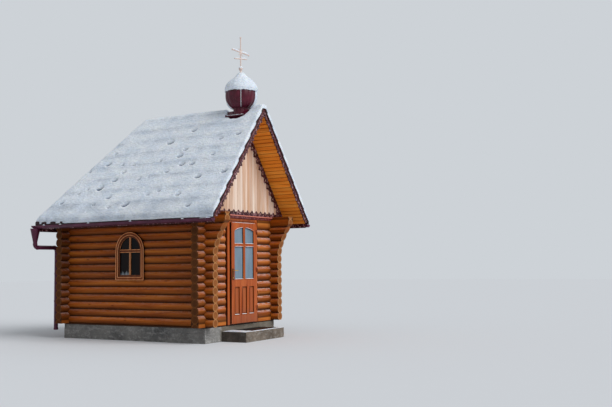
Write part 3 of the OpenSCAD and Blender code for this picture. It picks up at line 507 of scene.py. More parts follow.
# The front and rear logs' ends face the sides: stain and painted shade make them dark
DARK_END = tones((66, 34, 12), (100, 56, 22), (120, 72, 32))
TAN_END = tones((116, 64, 28), (168, 106, 58), (198, 144, 92))
PALE_TONE = tones((184, 134, 96), (226, 201, 181), (245, 235, 226))
SOFFIT_TONE = tones((202, 104, 20), (246, 150, 46), (255, 184, 82))
DECK_TONE = tones((70, 30, 6), (98, 46, 12), (118, 60, 20))
DOOR_TONE = tones((112, 42, 12), (168, 78, 30), (196, 108, 54))
# The window beads are paler wood, and their pale tone also paints highlights on their edges
BEAD_TONE = tones((186, 100, 50), (232, 154, 98), (248, 192, 146))
WINDOW_TONE = tones((76, 30, 8), (116, 54, 18), (148, 80, 34))
FLOOR_TONE = tones((140, 96, 56), (186, 138, 88), (210, 168, 118))
DARK_TONE = tones((40, 22, 12), (62, 36, 20), (80, 48, 30))

log_material("side_logs", 1, SIDE_TONE, TAN_END, 0.25)
log_material("front_logs", 0, FRONT_TONE, DARK_END, 1.0)
board_material("dark_wood", 1, DARK_TONE, 0.6)
board_material("floor_wood", 1, FLOOR_TONE, 0.45, (0, 0.12, 0.5))
board_material("soffit_wood", 1, SOFFIT_TONE, 0.45, (2, 0.0697, 0.3))
board_material("deck_wood", 1, DECK_TONE, 0.6)
board_material("pale_boards", 2, PALE_TONE, 0.5, (0, BOARD_W, 0.7))
board_material("door_wood", 2, DOOR_TONE, 0.3, coat=0.04, face=(1, -leaf_lo.y))
board_material("window_wood", 2, WINDOW_TONE, face=(0, CASING_X))
board_material("bead_wood", 2, BEAD_TONE, 0.35)
board_material("cord", 1, DARK_TONE, 0.8)
# Trims and the gutter take rime and a painted sky reflection on their upper faces
painted_material("maroon_trim", srgb(46, 10, 16), srgb(78, 30, 38), rime_and_reflection=0.6, speckle=0.55)
painted_material("rose_trim", srgb(98, 26, 26), srgb(138, 62, 54), rime_and_reflection=0.8, speckle=0.32,
                 highlight_band=srgb(206, 120, 102))
painted_material("roof_metal", srgb(32, 6, 10), srgb(56, 18, 24))
painted_material("gutter_metal", srgb(66, 16, 40), srgb(96, 40, 68), 0.35, 0.1, 0.4)
painted_material("hinge_steel", srgb(120, 46, 18), srgb(158, 78, 42), 0.3)
dome_material()
cross_material()
lever_material()
glass_material("window_glass", srgb(6, 8, 10), srgb(34, 18, 10), 0.15, 0,
               (window_lo.z + 0.06, window_lo.z + 0.30))
glass_material("frosted_glass", srgb(100, 120, 136), srgb(140, 158, 172), 0.4, 190.0,
               (1.20, 1.24))
concrete_material("concrete", srgb(70, 70, 70), srgb(126, 124, 120), 0.25)
concrete_material("step_concrete", srgb(74, 66, 58), srgb(132, 120, 108), 0.20, is_step=True)
snow_material()

for part in frame["record"]["subparts"]:
    slots = nodes[part["node"]].data.materials
    slots.clear()
    deck = part["node"].startswith("roof_deck")
    slots.append(mats["deck_wood" if deck else part["material_slot"]])


# Meshes


def steps(start, end, count):
    """Evenly spaced numbers from start to end, in count steps."""
    return [start + (end - start) * i / count for i in range(count + 1)]


def circle(count):
    """Evenly spaced angles of a full turn."""
    return [2 * math.pi * i / count for i in range(count)]


def heading(path, k):
    """Direction of a path at its point k."""
    return (path[min(k + 1, len(path) - 1)] - path[max(k - 1, 0)]).normalized()


def wave(x, y, z, size):
    """Smooth noise from -1 to 1 that changes over a length."""
    return noise.noise(Vector((x, y, z)) / size)


def fade(value, low, high):
    """A smooth step from 0 to 1."""
    t = min(max((value - low) / (high - low), 0.0), 1.0)
    return t * t * (3 - 2 * t)


def soft_max(a, b, r):
    return (a + b + math.sqrt((a - b) ** 2 + r * r)) / 2


def graded(low, high, step, fine):
    """Places from low to high, with closer spacing at both ends."""
    out = [low]
    size = fine
    while out[-1] + size < (low + high) / 2:
        out.append(out[-1] + size)
        size = min(step, size * 1.5)
    return out + [low + high - v for v in reversed(out)]


def bezier(points, t):
    a, b, c, d = points
    u = 1 - t
    return tuple(a[k] * u ** 3 + 3 * b[k] * t * u * u + 3 * c[k] * t * t * u + d[k] * t ** 3
                 for k in range(2))


class Shape:
    """Points and faces of one piece, gathered from closed skins."""

    def __init__(self):
        self.points = []
        self.faces = []

    def add(self, points, faces):
        base = len(self.points)
        self.points += [tuple(p) for p in points]
        self.faces += [tuple(base + i for i in face) for face in faces]

    def skin(self, rings, closed=False):
        """A skin over rings with equally many points, capped unless it closes on itself."""
        size, count = len(rings[0]), len(rings)
        faces = []
        for k in range(count if closed else count - 1):
            a, b = k * size, (k + 1) % count * size
            for i in range(size):
                j = (i + 1) % size
                faces.append((a + i, a + j, b + j, b + i))
        if not closed:
            faces.append(tuple(range(size - 1, -1, -1)))
            faces.append(tuple(range((count - 1) * size, count * size)))
        self.add([p for ring in rings for p in ring], faces)

    def shell(self, top, base, cols, rows):
        """A closed shell between two grids of the same size."""
        n = cols * rows
        faces = []
        for j in range(rows - 1):
            for i in range(cols - 1):
                a = j * cols + i
                faces.append((a, a + 1, a + cols + 1, a + cols))
                faces.append((n + a, n + a + cols, n + a + cols + 1, n + a + 1))
        rim = list(range(cols)) + [j * cols + cols - 1 for j in range(1, rows)]
        rim += [(rows - 1) * cols + i for i in range(cols - 2, -1, -1)]
        rim += [j * cols for j in range(rows - 2, 0, -1)]
        for a, b in zip(rim, rim[1:] + rim[:1]):
            faces.append((b, a, n + a, n + b))
        self.add(top + base, faces)

    def slab(self, low, high, bevel):
        """A box with bevelled edges."""
        def ring(z, inset, cut):
            x0, x1 = low[0] + inset, high[0] - inset
            y0, y1 = low[1] + inset, high[1] - inset
            flat = [(x0 + cut, y0), (x1 - cut, y0), (x1, y0 + cut), (x1, y1 - cut),
                    (x1 - cut, y1), (x0 + cut, y1), (x0, y1 - cut), (x0, y0 + cut)]
            return [(x, y, z) for x, y in flat]

        self.skin([ring(low[2], bevel, bevel / 2), ring(low[2] + bevel, 0, bevel),
                   ring(high[2] - bevel, 0, bevel), ring(high[2], bevel, bevel / 2)])

    def tube(self, path, radii, sides):
        """A round bar along a path, with a radius for each point."""
        path = [Vector(p) for p in path]
        side = heading(path, 0).orthogonal()
        rings = []
        for k, point in enumerate(path):
            along = heading(path, k)
            side = (side - side.dot(along) * along).normalized()
            third = along.cross(side)
            rings.append([point + radii[k] * (math.cos(t) * side + math.sin(t) * third)
                          for t in circle(sides)])
        self.skin(rings)

    def moulding(self, outline, profile, place):
        """A profile of (outward, height) points carried round a closed outline with mitres."""
        count = len(outline)
        rings = []
        for k in range(count):
            a, b, c = (Vector(outline[(k + d) % count]) for d in (-1, 0, 1))
            into, out = (b - a).normalized(), (c - b).normalized()
            n0, n1 = Vector((into.y, -into.x)), Vector((out.y, -out.x))
            mitre = (n0 + n1) / (1 + n0.dot(n1))
            rings.append([place(b.x + w * mitre.x, b.y + w * mitre.y, h) for w, h in profile])
        self.skin(rings, closed=True)

    def drift(self, path, width, height, seed, sides=9):
        """A lens of snow along a path, tapered at both ends."""
        rng = random.Random(seed)
        path = [Vector(p) for p in path]
        count = len(path)
        rings = []
        for k, point in enumerate(path):
            side = heading(path, k).cross(Vector((0, 0, 1))).normalized()
            end = min(k, count - 1 - k) / max(1, count // 4)
            swell = math.sqrt(min(1.0, end + 0.12)) * rng.uniform(0.82, 1.12)
            ring = []
            for t in steps(0.0, math.pi, sides - 1):
                lift = height * swell * math.sin(t) ** 0.8
                out = width / 2 * swell * math.cos(t)
                ring.append(point - side * out + Vector((0, 0, lift)))
            rings.append(ring)
        self.skin(rings)

    def patch(self, x0, x1, y0, y1, z, height, seed):
        """A thin patch of snow with a ragged edge."""
        cols, rows = 40, 30
        top, base = [], []
        for v in steps(0.0, 1.0, rows - 1):
            for u in steps(0.0, 1.0, cols - 1):
                x, y = x0 + (x1 - x0) * u, y0 + (y1 - y0) * v
                x += 0.03 * wave(x, y, seed, 0.12) * math.sin(math.pi * u)
                edge = min(u, 1 - u, v, 1 - v) * 2
                body = math.sqrt(min(1.0, edge * 4)) * (0.75 + 0.4 * wave(x, y, seed, 0.1))
                top.append((x, y, z + 0.0015 + height * max(0.0, body)))
                base.append((x, y, z))
        self.shell(top, base, cols, rows)


def piece(name, shape, slot, body=BODY, crease=35, material=None):
    """A new object from a shape, riding on a body."""
    mesh = bpy.data.meshes.new(name)
    mesh.from_pydata(shape.points, [], shape.faces)
    work = bmesh.new()
    work.from_mesh(mesh)
    bmesh.ops.recalc_face_normals(work, faces=work.faces)
    work.to_mesh(mesh)
    work.free()
    mesh.materials.append(mats[material or slot])
    mesh.polygons.foreach_set("use_smooth", [True] * len(mesh.polygons))
    mesh.set_sharp_from_angle(angle=math.radians(crease))
    obj = bpy.data.objects.new(name, mesh)
    bpy.context.scene.collection.objects.link(obj)
    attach(obj, body)
    return obj


# Snow and metal on the roof

# Dents in the left slope's snow, as the photo shows them: across, along, size and depth
DENTS = [
    (-0.40, -0.97, 0.050, 0.030), (-0.55, -2.20, 0.045, 0.030), (-0.60, -1.80, 0.045, 0.025),
    (-0.59, -0.49, 0.062, 0.042), (-0.75, -1.01, 0.040, 0.040), (-0.86, -0.95, 0.050, 0.040),
    (-0.88, -1.80, 0.040, 0.025), (-0.92, -0.50, 0.030, 0.025), (-1.01, -1.12, 0.050, 0.038),
    (-1.02, -1.38, 0.045, 0.035), (-0.89, 0.97, 0.055, 0.030), (-0.93, 0.53, 0.030, 0.030),
    (-0.95, 0.20, 0.030, 0.025), (-1.12, -0.82, 0.040, 0.025), (-1.07, 0.38, 0.040, 0.040),
    (-1.18, -2.28, 0.050, 0.035), (-1.25, -1.70, 0.055, 0.040), (-0.71, 0.93, 0.030, 0.020),
    (-1.01, 1.40, 0.030, 0.025), (-1.20, 0.51, 0.050, 0.035), (-1.22, -0.16, 0.035, 0.025),
    (-1.32, 0.81, 0.065, 0.042), (-1.52, -1.42, 0.045, 0.038), (-1.44, -0.88, 0.035, 0.025),
    (-1.34, 1.14, 0.030, 0.030), (-1.50, 0.40, 0.050, 0.030), (-1.64, -0.17, 0.060, 0.042),
    (-1.61, 0.71, 0.030, 0.030), (-1.50, -0.64, 0.035, 0.025), (-1.67, 0.24, 0.035, 0.030),
    (-1.71, -1.81, 0.045, 0.025), (-1.55, 1.68, 0.040, 0.030), (-1.41, 1.33, 0.030, 0.020)]


def all_dents():
    """The dents that show, and random ones on the right and rear slopes: place, radius, depth
    and whether they lie on the rear slope."""
    rng = random.Random(11)
    spread, rear_y = 1.3, 1.2
    dents = list(DENTS)
    for count, across, along in ((40, (0.2, 1.7), (-2.3, 1.9)), (10, (-1.0, 1.0), (1.3, 2.0))):
        for _ in range(count):
            spans = (across, along, (0.03, 0.06), (0.02, 0.04))
            dents.append(tuple(rng.uniform(*span) for span in spans))
    return [(x, y, spread * size, depth,
             y > rear_y and abs(x) < (y - HIP_Y) * ROOF_X / HIP_RUN)
            for x, y, size, depth in dents]


def dent_relief(x, y, dents):
    """Drop of the snow's surface at a place, and how much painted shade it takes."""
    squash = 1.8
    drop = painted_shade = 0.0
    for dx, dy, radius, depth, rear in dents:
        wide, tall = (1.0, squash) if rear else (squash, 1.0)
        q = (((x - dx) * wide) ** 2 + ((y - dy) * tall) ** 2) / (radius * radius)
        if q >= 6:
            continue
        # A pit with painted shade on its lower side and a crisp rim below with a painted
        # highlight
        pit = math.exp(-q * q * 0.8)
        down, aside = (y - dy, 0.0) if rear else (abs(x) - abs(dx), dy - y)
        lean = 1.8 * down + 0.25 * aside
        rim = math.exp(-((q - 2.0) ** 2) * 1.5) * fade(lean, 0.5 * radius, 1.2 * radius)
        drop += depth * (1.2 * pit - 0.25 * rim)
        painted_shade += depth * (36.0 * pit * fade(lean, -0.9 * radius, 0.4 * radius) - 19.0 * rim)
    return drop, painted_shade


def snow_depth(x, y, edge, ahead, dents):
    """Depth of the snow at a place, and its painted shade, from its distance to the nearest edge
    and to the front edge."""
    thick, rim, front_rim = 0.118, 0.060, 0.035
    t = min(max(edge / rim, 0.0), 1.0)
    f = min(max(ahead / front_rim, 0.0), 1.0)
    lip = 0.80 if x < 0.05 else 1.12
    depth = thick * (0.52 + 0.48 * math.sqrt(1 - (1 - t) ** 2))
    depth *= lip + (1 - lip) * math.sqrt(1 - (1 - f) ** 2)
    depth += 0.014 * wave(x, y, 3, 0.8) + 0.006 * wave(x * 1.5, y, 9, 0.22)
    # It sags behind each step of the covering, and slides thin above the eaves
    course = ((ROOF_X - abs(x)) / TILE_RUN) % 1.0
    sag = 0.6 + 0.4 * wave(x, y, 21, 0.45)
    band = (1 - course) * fade(course, 0.0, 0.18)
    depth += sag * 0.024 * (band - 0.45)
    # Painted shade below each step of the covering and in a band above the eaves
    painted_shade = 0.26 * max(0.0, 0.35 - band) / 0.35 * max(0.0, sag + wave(x, y, 31, 0.18))
    painted_shade += 0.20 * fade(abs(x), 1.52, 1.68) * max(0.0, 0.6 + wave(x * 2, y, 17, 0.30))
    drop, dark = dent_relief(x, y, dents)
    # Little snow lies under the dome
    away = math.hypot(x * 1.22, (y - DOME_Y) * 0.95)
    scour = fade(away + 0.02 * wave(x, y, 5, 0.12), 0.22, 0.35)
    return max(0.012, depth - drop) * scour, painted_shade + dark


def roof_snow():
    """One blanket over all slopes, blunt at its rims and scoured round the drum."""
    dents = all_dents()
    across = [-v for v in reversed(graded(0.0, 1.0, 0.0098, 0.003))]
    across += graded(0.0, 1.0, 0.018, 0.003)[1:]
    along = graded(0.0, 1.0, 0.0056, 0.0012)

    def side_edge(y, side):
        reach = ROOF_X + 0.010 + 0.006 * wave(y, side, 0, 0.30)
        if side < 0:
            reach -= 0.028 * fade(y, 1.15, 1.45) * max(0.0, 0.4 + wave(y, 3, 0, 0.11))
        return reach

    def top(x, y):
        drop = SLOPE * math.sqrt(x * x + 0.068 ** 2)
        if y > HIP_Y - 0.4:
            drop = soft_max(drop, HIP_SLOPE * (y - HIP_Y), 0.06)
        mound = 0.020 * fade(-y, 2.10, 2.40) * math.exp(-(x / 0.25) ** 2)
        return APEX_Z - drop + mound

    def under(x, y):
        drop = max(SLOPE * abs(x), HIP_SLOPE * (y - HIP_Y))
        return min(APEX_Z - drop, RIDGE_Z) + 0.002

    upper, lower, shade = [], [], []
    for v in along:
        for u in across:
            y0 = ROOF_Y0 + 0.004 + 0.003 * wave(u * 2, 7, 0, 0.1)
            y1 = ROOF_Y1 + 0.010 + 0.006 * wave(u * 2, 8, 0, 0.3)
            y = y0 + v * (y1 - y0)
            reach = side_edge(y, u)
            x = u * reach
            depth, painted_shade = snow_depth(x, y, min(reach - abs(x), y1 - y), y - y0, dents)
            low = under(x, y)
            upper.append((x, y, max(top(x, y) + depth, low + 0.0005)))
            lower.append((x, y, low))
            shade.append(min(1.0, max(-0.5, painted_shade)))
    shape = Shape()
    shape.shell(upper, lower, len(across), len(along))
    snow = piece("roof_snow", shape, "snow", crease=70)
    # The snow's painted shade goes to its material in a point attribute
    painted_shade = snow.data.attributes.new("painted_shade", "FLOAT", "POINT")
    painted_shade.data.foreach_set("value", shade + [0.0] * len(lower))


def tile_ends():
    """Upturned ends of the tile courses along both rakes."""
    courses, width = 8, 0.110
    shape = Shape()
    for side, high in ((-1, 0.052), (1, 0.036)):
        for k in range(courses):
            x = ROOF_X - TILE_RUN * k
            outline = [(x, -0.012), (x, high), (x - 0.030, high - 0.006), (x - width, 0.022),
                       (x - width, -0.004)]
            shape.skin([[(side * u, y, APEX_Z - SLOPE * u + h) for u, h in outline]
                        for y in (ROOF_Y0 + 0.0005, ROOF_Y0 + 0.028)])
    piece("tile_ends", shape, "roof_metal", crease=20)


# Boards


def soffit_boards():
    """Matched boards under the overhangs, with dark joints between them."""
    width, joint, thick, bevel = 0.088, 0.008, 0.0095, 0.007
    fascia = 0.0235
    front = barge_hi.y + 0.001
    shape = Shape()

    def board(low, high, pitch, place, start, end):
        """One board between two distances down a slope, with its ends at start and end."""
        top = -SOFFIT_DROP * math.cos(pitch) - 0.0005
        section = [(low, top), (high, top), (high, top - thick + bevel),
                   (high - bevel, top - thick), (low + bevel, top - thick),
                   (low, top - thick + bevel)]
        shape.skin([[place(u, h, end_place) for u, h in section] for end_place in (start, end)])

    def down_slope(plan, pitch):
        """Distance down a slope of the soffit's point at a distance in plan."""
        return (plan + SOFFIT_DROP * math.cos(pitch) * math.sin(pitch)) / math.cos(pitch)

    face = down_slope(FACE_X + 0.0015, PITCH)
    foot = down_slope(fascia_hi.x - fascia, PITCH)
    for side in (-1, 1):
        def on_side(u, h, y):
            """A place on a side slope; its rear end follows the hip."""
            x = u * math.cos(PITCH) + h * math.sin(PITCH)
            if y is None:
                y = HIP_Y + x * HIP_RUN / ROOF_X - 0.005
            return (side * x, y, APEX_Z - u * math.sin(PITCH) + h * math.cos(PITCH))

        u = face
        while u - width > 0.14:
            board(u - width, u - joint, PITCH, on_side, front, edging_lo.y - 0.001)
            u -= width
        u = face
        while u < foot - 0.02:
            board(u, min(u + width - joint, foot), PITCH, on_side, front, None)
            u += width

    def on_rear(u, h, side):
        y = HIP_Y + u * math.cos(HIP_PITCH) + h * math.sin(HIP_PITCH)
        x = (y - HIP_Y) * ROOF_X / HIP_RUN - 0.006
        return (side * x, y, APEX_Z - u * math.sin(HIP_PITCH) + h * math.cos(HIP_PITCH))

    u = down_slope(FACE_Y + 0.0015 - HIP_Y, HIP_PITCH)
    foot = down_slope(fascia_hi.y - fascia - HIP_Y, HIP_PITCH)
    while u < foot - 0.02:
        board(u, min(u + width - joint, foot), HIP_PITCH, on_rear, -1, 1)
        u += width
    piece("soffit_boards", shape, "soffit_wood", crease=20)


def gable_planks():
    """Upright planks with open V joints in the front gable."""
    joint, bevel, least = 0.005, 0.009, 0.02
    shape = Shape()
    reach = gable_hi.x
    count = int(reach / BOARD_W) + 1
    front, back = gable_lo.y, gable_hi.y

    def roof_line(x):
        return max(gable_hi.z - SLOPE * abs(x), gable_lo.z + 0.0005)

    for k in range(-count, count):
        x0 = max(k * BOARD_W + joint / 2, -reach)
        x1 = min((k + 1) * BOARD_W - joint / 2, reach)
        if x1 - x0 < least:
            continue
        section = [(x0, back), (x1, back), (x1, front + bevel), (x1 - bevel, front),
                   (x0 + bevel, front), (x0, front + bevel)]
        shape.skin([[(x, y, gable_lo.z) for x, y in section],
                    [(x, y, roof_line(x)) for x, y in section]])
    planks = piece("gable_planks", shape, "pale_boards", crease=20)
    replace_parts(planks, "gable_boards")


def log_seams():
    """Tarred cords in the seams between the logs."""
    shape = Shape()
    depth, radius, courses = 0.056, 0.0085, 12
    spring = window_hi.z - window_hi.y
    inner_x, inner_y = SIDE_X - LOG_R, END_Y - LOG_R

    def cord(point, start, end, seed):
        """A cord between two distances along a wall, a little uneven."""
        path, radii = [], []
        for t in steps(start, end, max(3, int(abs(end - start) / 0.05))):
            path.append(point(t, 0.0015 * wave(t, seed, 0, 0.09)))
            radii.append(radius * (1 + 0.14 * wave(t, seed, 4, 0.04)))
        shape.tube(path, radii, 6)

    for k in range(1, courses + 1):
        z = WALL_Z + COURSE * k
        half = 0.0
        if window_lo.z < z < window_hi.z:
            high = max(0.0, z - spring)
            half = math.sqrt(max(0.0, window_hi.y ** 2 - high ** 2)) - 0.02
        for side in (-1, 1):
            def along(t, sway):
                return (side * (SIDE_X + depth), t, z + sway)

            if half > 0.02:
                cord(along, -inner_y, -half, k)
                cord(along, half, inner_y, k)
            else:
                cord(along, -inner_y, inner_y, k)
        z = WALL_Z + COURSE * (k + 0.5)

        def rear(t, sway):
            return (t, END_Y + depth, z + sway)

        def front(t, sway):
            return (t, -END_Y - depth, z + sway)

        cord(rear, -inner_x, inner_x, k + 20)
        if k < courses:
            cord(front, -inner_x, jamb_lo.x, k + 40)
            cord(front, jamb_hi.x, inner_x, k + 60)
    piece("log_seams", shape, "dark_wood", material="cord", crease=60)


# Dome


def dome_profile(t):
    """Radius and height of the onion from its neck at 0 over its belly at 1 to its tip at 2."""
    if t < 1:
        return bezier([(DOME_R - 0.180, dome_lo.z), (DOME_R * 0.78, dome_lo.z + 0.012),
                       (DOME_R, DOME_BELLY - 0.145), (DOME_R, DOME_BELLY)], t)
    return bezier([(DOME_R, DOME_BELLY), (DOME_R, DOME_BELLY + 0.328),
                   (DOME_R * 0.48, DOME_BELLY + 0.260), (0.026, dome_hi.z)], t - 1)


def dome_point(t, turn, lift):
    """A point over the onion's skin, lifted along its normal."""
    r, z = dome_profile(t)
    r1, z1 = dome_profile(min(t + 0.01, 2.0))
    r0, z0 = dome_profile(max(t - 0.01, 0.0))
    normal = Vector((z1 - z0, r0 - r1)).normalized()
    r, z = r + lift * normal.x, z + lift * normal.y
    return (r * math.cos(turn), DOME_Y + r * math.sin(turn), z)


def dome_shell():
    """The onion with twelve sheet gores that meet in raised seams."""
    gores, fine = 12, 14
    turns = []
    for g in range(gores):
        for i in range(fine):
            # Closer together next to the seam
            s = i / fine
            s = s - 0.5 * math.sin(2 * math.pi * s) / math.pi * 0.85
            turns.append((g + s) * 2 * math.pi / gores)
    rings = []
    for t in steps(0.0, 2.0, 64):
        r = dome_profile(t)[0]
        ring = []
        for turn in turns:
            part = (turn * gores / (2 * math.pi)) % 1.0
            near = min(part, 1 - part) * 2 * math.pi / gores * max(r, 0.03)
            seam = 0.007 * max(0.0, 1 - (near / 0.009) ** 2)
            pillow = 0.010 * math.sin(math.pi * part) ** 2 * min(1.0, r / 0.2) - 0.004
            ring.append(dome_point(t, turn + SEAM_TURN, seam + pillow))
        rings.append(ring)
    shape = Shape()
    shape.skin(rings)
    shell = piece("dome_shell", shape, "dome_metal", crease=30)
    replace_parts(shell, "dome")


def dome_snow():
    """A thick cap on the onion and thin snow on its sheltered flanks."""
    shape = Shape()
    windward = math.radians(304)
    turns = circle(96)
    start = 1.09
    outer = []
    for k, t in enumerate(steps(start, 1.985, 23)):
        ring = []
        for turn in turns:
            cos, sin = math.cos(turn), math.sin(turn)
            lean = 0.5 + 0.5 * math.cos(turn - windward)
            lift = 0.032 + 0.018 * lean + 0.006 * wave(cos, sin, t, 0.35)
            blunt = math.sqrt(min(1.0, (k + 0.35) / 3.0))
            drip = 0.030 * wave(cos, sin, 5, 0.16) * max(0.0, 1 - k / 3)
            ring.append(dome_point(t + drip, turn, 0.004 + lift * blunt))
        outer.append(ring)
    peak_r, peak_z = 0.030, dome_hi.z + 0.018
    outer.append([(peak_r * math.cos(a), DOME_Y + peak_r * math.sin(a), peak_z) for a in turns])
    inner = [[dome_point(t, turn, 0.0005) for turn in turns]
             for t in (1.96, 1.8, 1.6, 1.4, start + 0.01)]
    shape.skin(outer + inner, closed=True)

    def flank(middle, spread, t0, t1, thick):
        """A patch of snow that thins out to its edges."""
        rows, cols = 18, 16
        top, base = [], []
        for i, t in enumerate(steps(t0, t1, rows - 1)):
            for s in steps(-1.0, 1.0, cols - 1):
                turn = middle + spread * s
                body = math.sqrt(max(0.0, 1 - s * s))
                body *= math.sin(math.pi * min(1.0, (i + 0.3) / rows)) ** 0.5
                ragged = 1 + 0.25 * wave(t, s, middle, 0.25)
                top.append(dome_point(t, turn, 0.007 + thick * body * ragged))
                base.append(dome_point(t, turn, 0.001))
        shape.shell(top, base, cols, rows)

    flank(math.radians(328), spread=0.80, t0=0.20, t1=1.17, thick=0.024)
    flank(math.radians(110), spread=0.50, t0=0.10, t1=0.62, thick=0.012)
    # Rime along the seam that faces the weather
    count = 24
    seam = [dome_point(t, SEAM_TURN, 0.008) for t in steps(0.16, 1.22, count)]
    shape.tube(seam, [0.0022 + 0.0028 * fade(i, 0, 6) * fade(count - i, 0, 5)
                      for i in range(count + 1)], 8)
    piece("dome_snow", shape, "snow", crease=60)


def dome_collar():
    """Level wings of sheet metal beside the drum, with snow lying on them."""
    shape, snow = Shape(), Shape()
    level, reach, root = RIDGE_Z - 0.110, 0.240, 0.112
    lip, flange, hem = 0.006, 0.020, 0.004
    y0, y1 = DOME_Y - reach, DOME_Y + reach
    for side in (-1, 1):
        x0, x1 = sorted((side * root, side * reach))
        e0, e1 = sorted((side * reach, side * (reach - lip)))
        shape.slab((x0, y0, level - lip), (x1, y1, level), 0.001)
        shape.slab((e0, y0, level - flange), (e1, y1, level + hem), 0.001)
        shape.slab((x0, y1 - lip, level - flange), (x1, y1, level + 0.026), 0.001)
        shape.slab((x0, y0, level - flange), (x1, y0 + lip, level + hem), 0.001)
        snow.patch(x0 + 0.008, x1 - 0.008, y0 + 0.008, y1 - 0.010, level - 0.0005, 0.020,
                   4 + side)
    piece("dome_collar", shape, "dome_metal", crease=30)
    piece("collar_snow", snow, "snow", crease=60)


def cross_snow():
    """Snow on the cross's bars and on its ball."""
    shape = Shape()
    bar_z, foot_z = cross_hi.z - 0.334, cross_hi.z - 0.474
    slant = math.tan(math.radians(9))
    rod = 0.013
    bars = [(-0.30, -0.02, bar_z, 0.0, 0.030, 0.026), (0.02, 0.30, bar_z, 0.0, 0.032, 0.034),
            (-0.215, -0.06, foot_z, slant, 0.026, 0.014),
            (0.03, 0.215, foot_z, slant, 0.030, 0.026)]
    for seed, (x0, x1, z, rise, width, height) in enumerate(bars, 1):
        path = [(x, DOME_Y, z + rod * 0.8 + rise * x) for x in steps(x0, x1, 12)]
        shape.drift(path, width, height, seed)
    ball_z = dome_hi.z + 0.106
    rings = []
    for lat in steps(math.radians(18), math.radians(90), 6):
        r = 0.048 + 0.010 * math.sin(lat)
        out, up = r * math.cos(lat), r * math.sin(lat)
        rings.append([(out * math.cos(a) + 0.004, DOME_Y + out * math.sin(a), ball_z + up)
                      for a in circle(20)])
    shape.skin(rings)
    piece("cross_snow", shape, "snow", crease=60)


# Door and windows

# Profiles of the beads: outward from the outline, and height over the face
DOOR_BEAD = [(-0.001, -0.010), (-0.001, 0.003), (0.003, 0.008), (0.009, 0.009),
             (0.014, 0.006), (0.017, 0.0045), (0.020, 0.0), (0.020, -0.010)]
WINDOW_BEAD = [(0.0, -0.004), (0.0, 0.004), (0.003, 0.007), (0.008, 0.007), (0.011, 0.004),
               (0.011, -0.004)]


def door_outlines():
    """Outlines of the four panes and of the three panels of the leaf."""
    glass_half, bar = 0.355, 0.034
    low, cross, spring, rise = 1.235, 1.895, leaf_hi.z - 0.168, 0.068
    panel_w, panel_gap, panel_low, panel_high = 0.178, 0.088, 0.515, 1.075
    radius = (glass_half ** 2 + rise ** 2) / (2 * rise)
    centre = spring + rise - radius
    panes = []
    for x0, x1 in ((-glass_half, -bar), (bar, glass_half)):
        panes.append([(x0, low), (x1, low), (x1, cross), (x0, cross)])
        head = [(x, centre + math.sqrt(radius ** 2 - x * x)) for x in steps(x1, x0, 12)]
        panes.append([(x0, cross + 2 * bar), (x1, cross + 2 * bar)] + head)
    panels = []
    for k in range(3):
        x0 = -glass_half + k * (panel_w + panel_gap)
        x1 = x0 + panel_w
        panels.append([(x0, panel_low), (x1, panel_low), (x1, panel_high), (x0, panel_high)])
    return panes, panels


def door_trim():
    """Beads round the panes and the panels of the leaf, with rime on their ledges."""
    panes, panels = door_outlines()
    face = leaf_lo.y
    shape = Shape()
    for outline in panes + panels:
        shape.moulding(outline, DOOR_BEAD, lambda u, v, h: (u, face - h, v))
    piece("door_trim", shape, "door_wood", "door", 40)

    def level(x0, x1, y, z, count=8):
        return [(x, y, z) for x in steps(x0, x1, count)]

    def width_of(outline):
        xs = [x for x, _ in outline]
        return min(xs), max(xs)

    ledges = []
    for outline in panes + panels:
        low = min(z for _, z in outline)
        ledges.append((level(*width_of(outline), face - 0.001, low - 0.001), 0.014, 0.010))
    for outline in panes[1::2]:
        ledges.append(([(x, face - 0.005, z + 0.006) for x, z in outline[2:]], 0.014, 0.008))
    for outline in panes[::2]:
        high = max(z for _, z in outline)
        ledges.append((level(*width_of(outline), face - 0.006, high + 0.005), 0.016, 0.008))
    rime = Shape()
    for seed, (path, width, height) in enumerate(ledges, 1):
        rime.drift(path, width, height, seed)
    top = level(leaf_lo.x + 0.02, leaf_hi.x - 0.02, face + 0.004, leaf_hi.z, 16)
    rime.drift(top, 0.012, 0.007, 77)
    piece("door_rime", rime, "snow", "door", 60)


def window_trim():
    """Fine beads on the casings and round the panes."""
    half, bar = 0.268, 0.022
    sill, spring = window_lo.z + 0.108, window_hi.z - 0.376
    shape = Shape()

    def round_head(wider):
        """Outline of the window's lining, made wider, with a level foot and a round head."""
        r, foot = half + wider, sill - wider
        head = [(r * math.cos(t), spring + r * math.sin(t)) for t in steps(0.0, math.pi, 24)]
        return [(-r, foot), (r, foot)] + head

    def arch(x0, x1, base):
        """Outline of an upper pane, whose head lies on the circle of the window."""
        head = [(x, max(spring + math.sqrt(max(half ** 2 - x * x, 0.0)), base + 0.01))
                for x in steps(x1, x0, 14)]
        return [(x0, base), (x1, base)] + head

    for side in (-1, 1):
        def bead(outline, face):
            shape.moulding(outline, WINDOW_BEAD,
                           lambda u, v, h: (side * (face + h), -side * u, v))

        for wider in (0.094, 0.040):
            bead(round_head(wider), CASING_X)
        for x0, x1 in ((-half, -bar), (bar, half)):
            top = spring - 2 * bar
            bead([(x0, sill), (x1, sill), (x1, top), (x0, top)], FACE_X + 0.007)
            bead(arch(x0, x1, spring + 0.018), FACE_X + 0.007)
    piece("window_trim", shape, "window_wood", crease=40, material="bead_wood")


# Rainwater goods


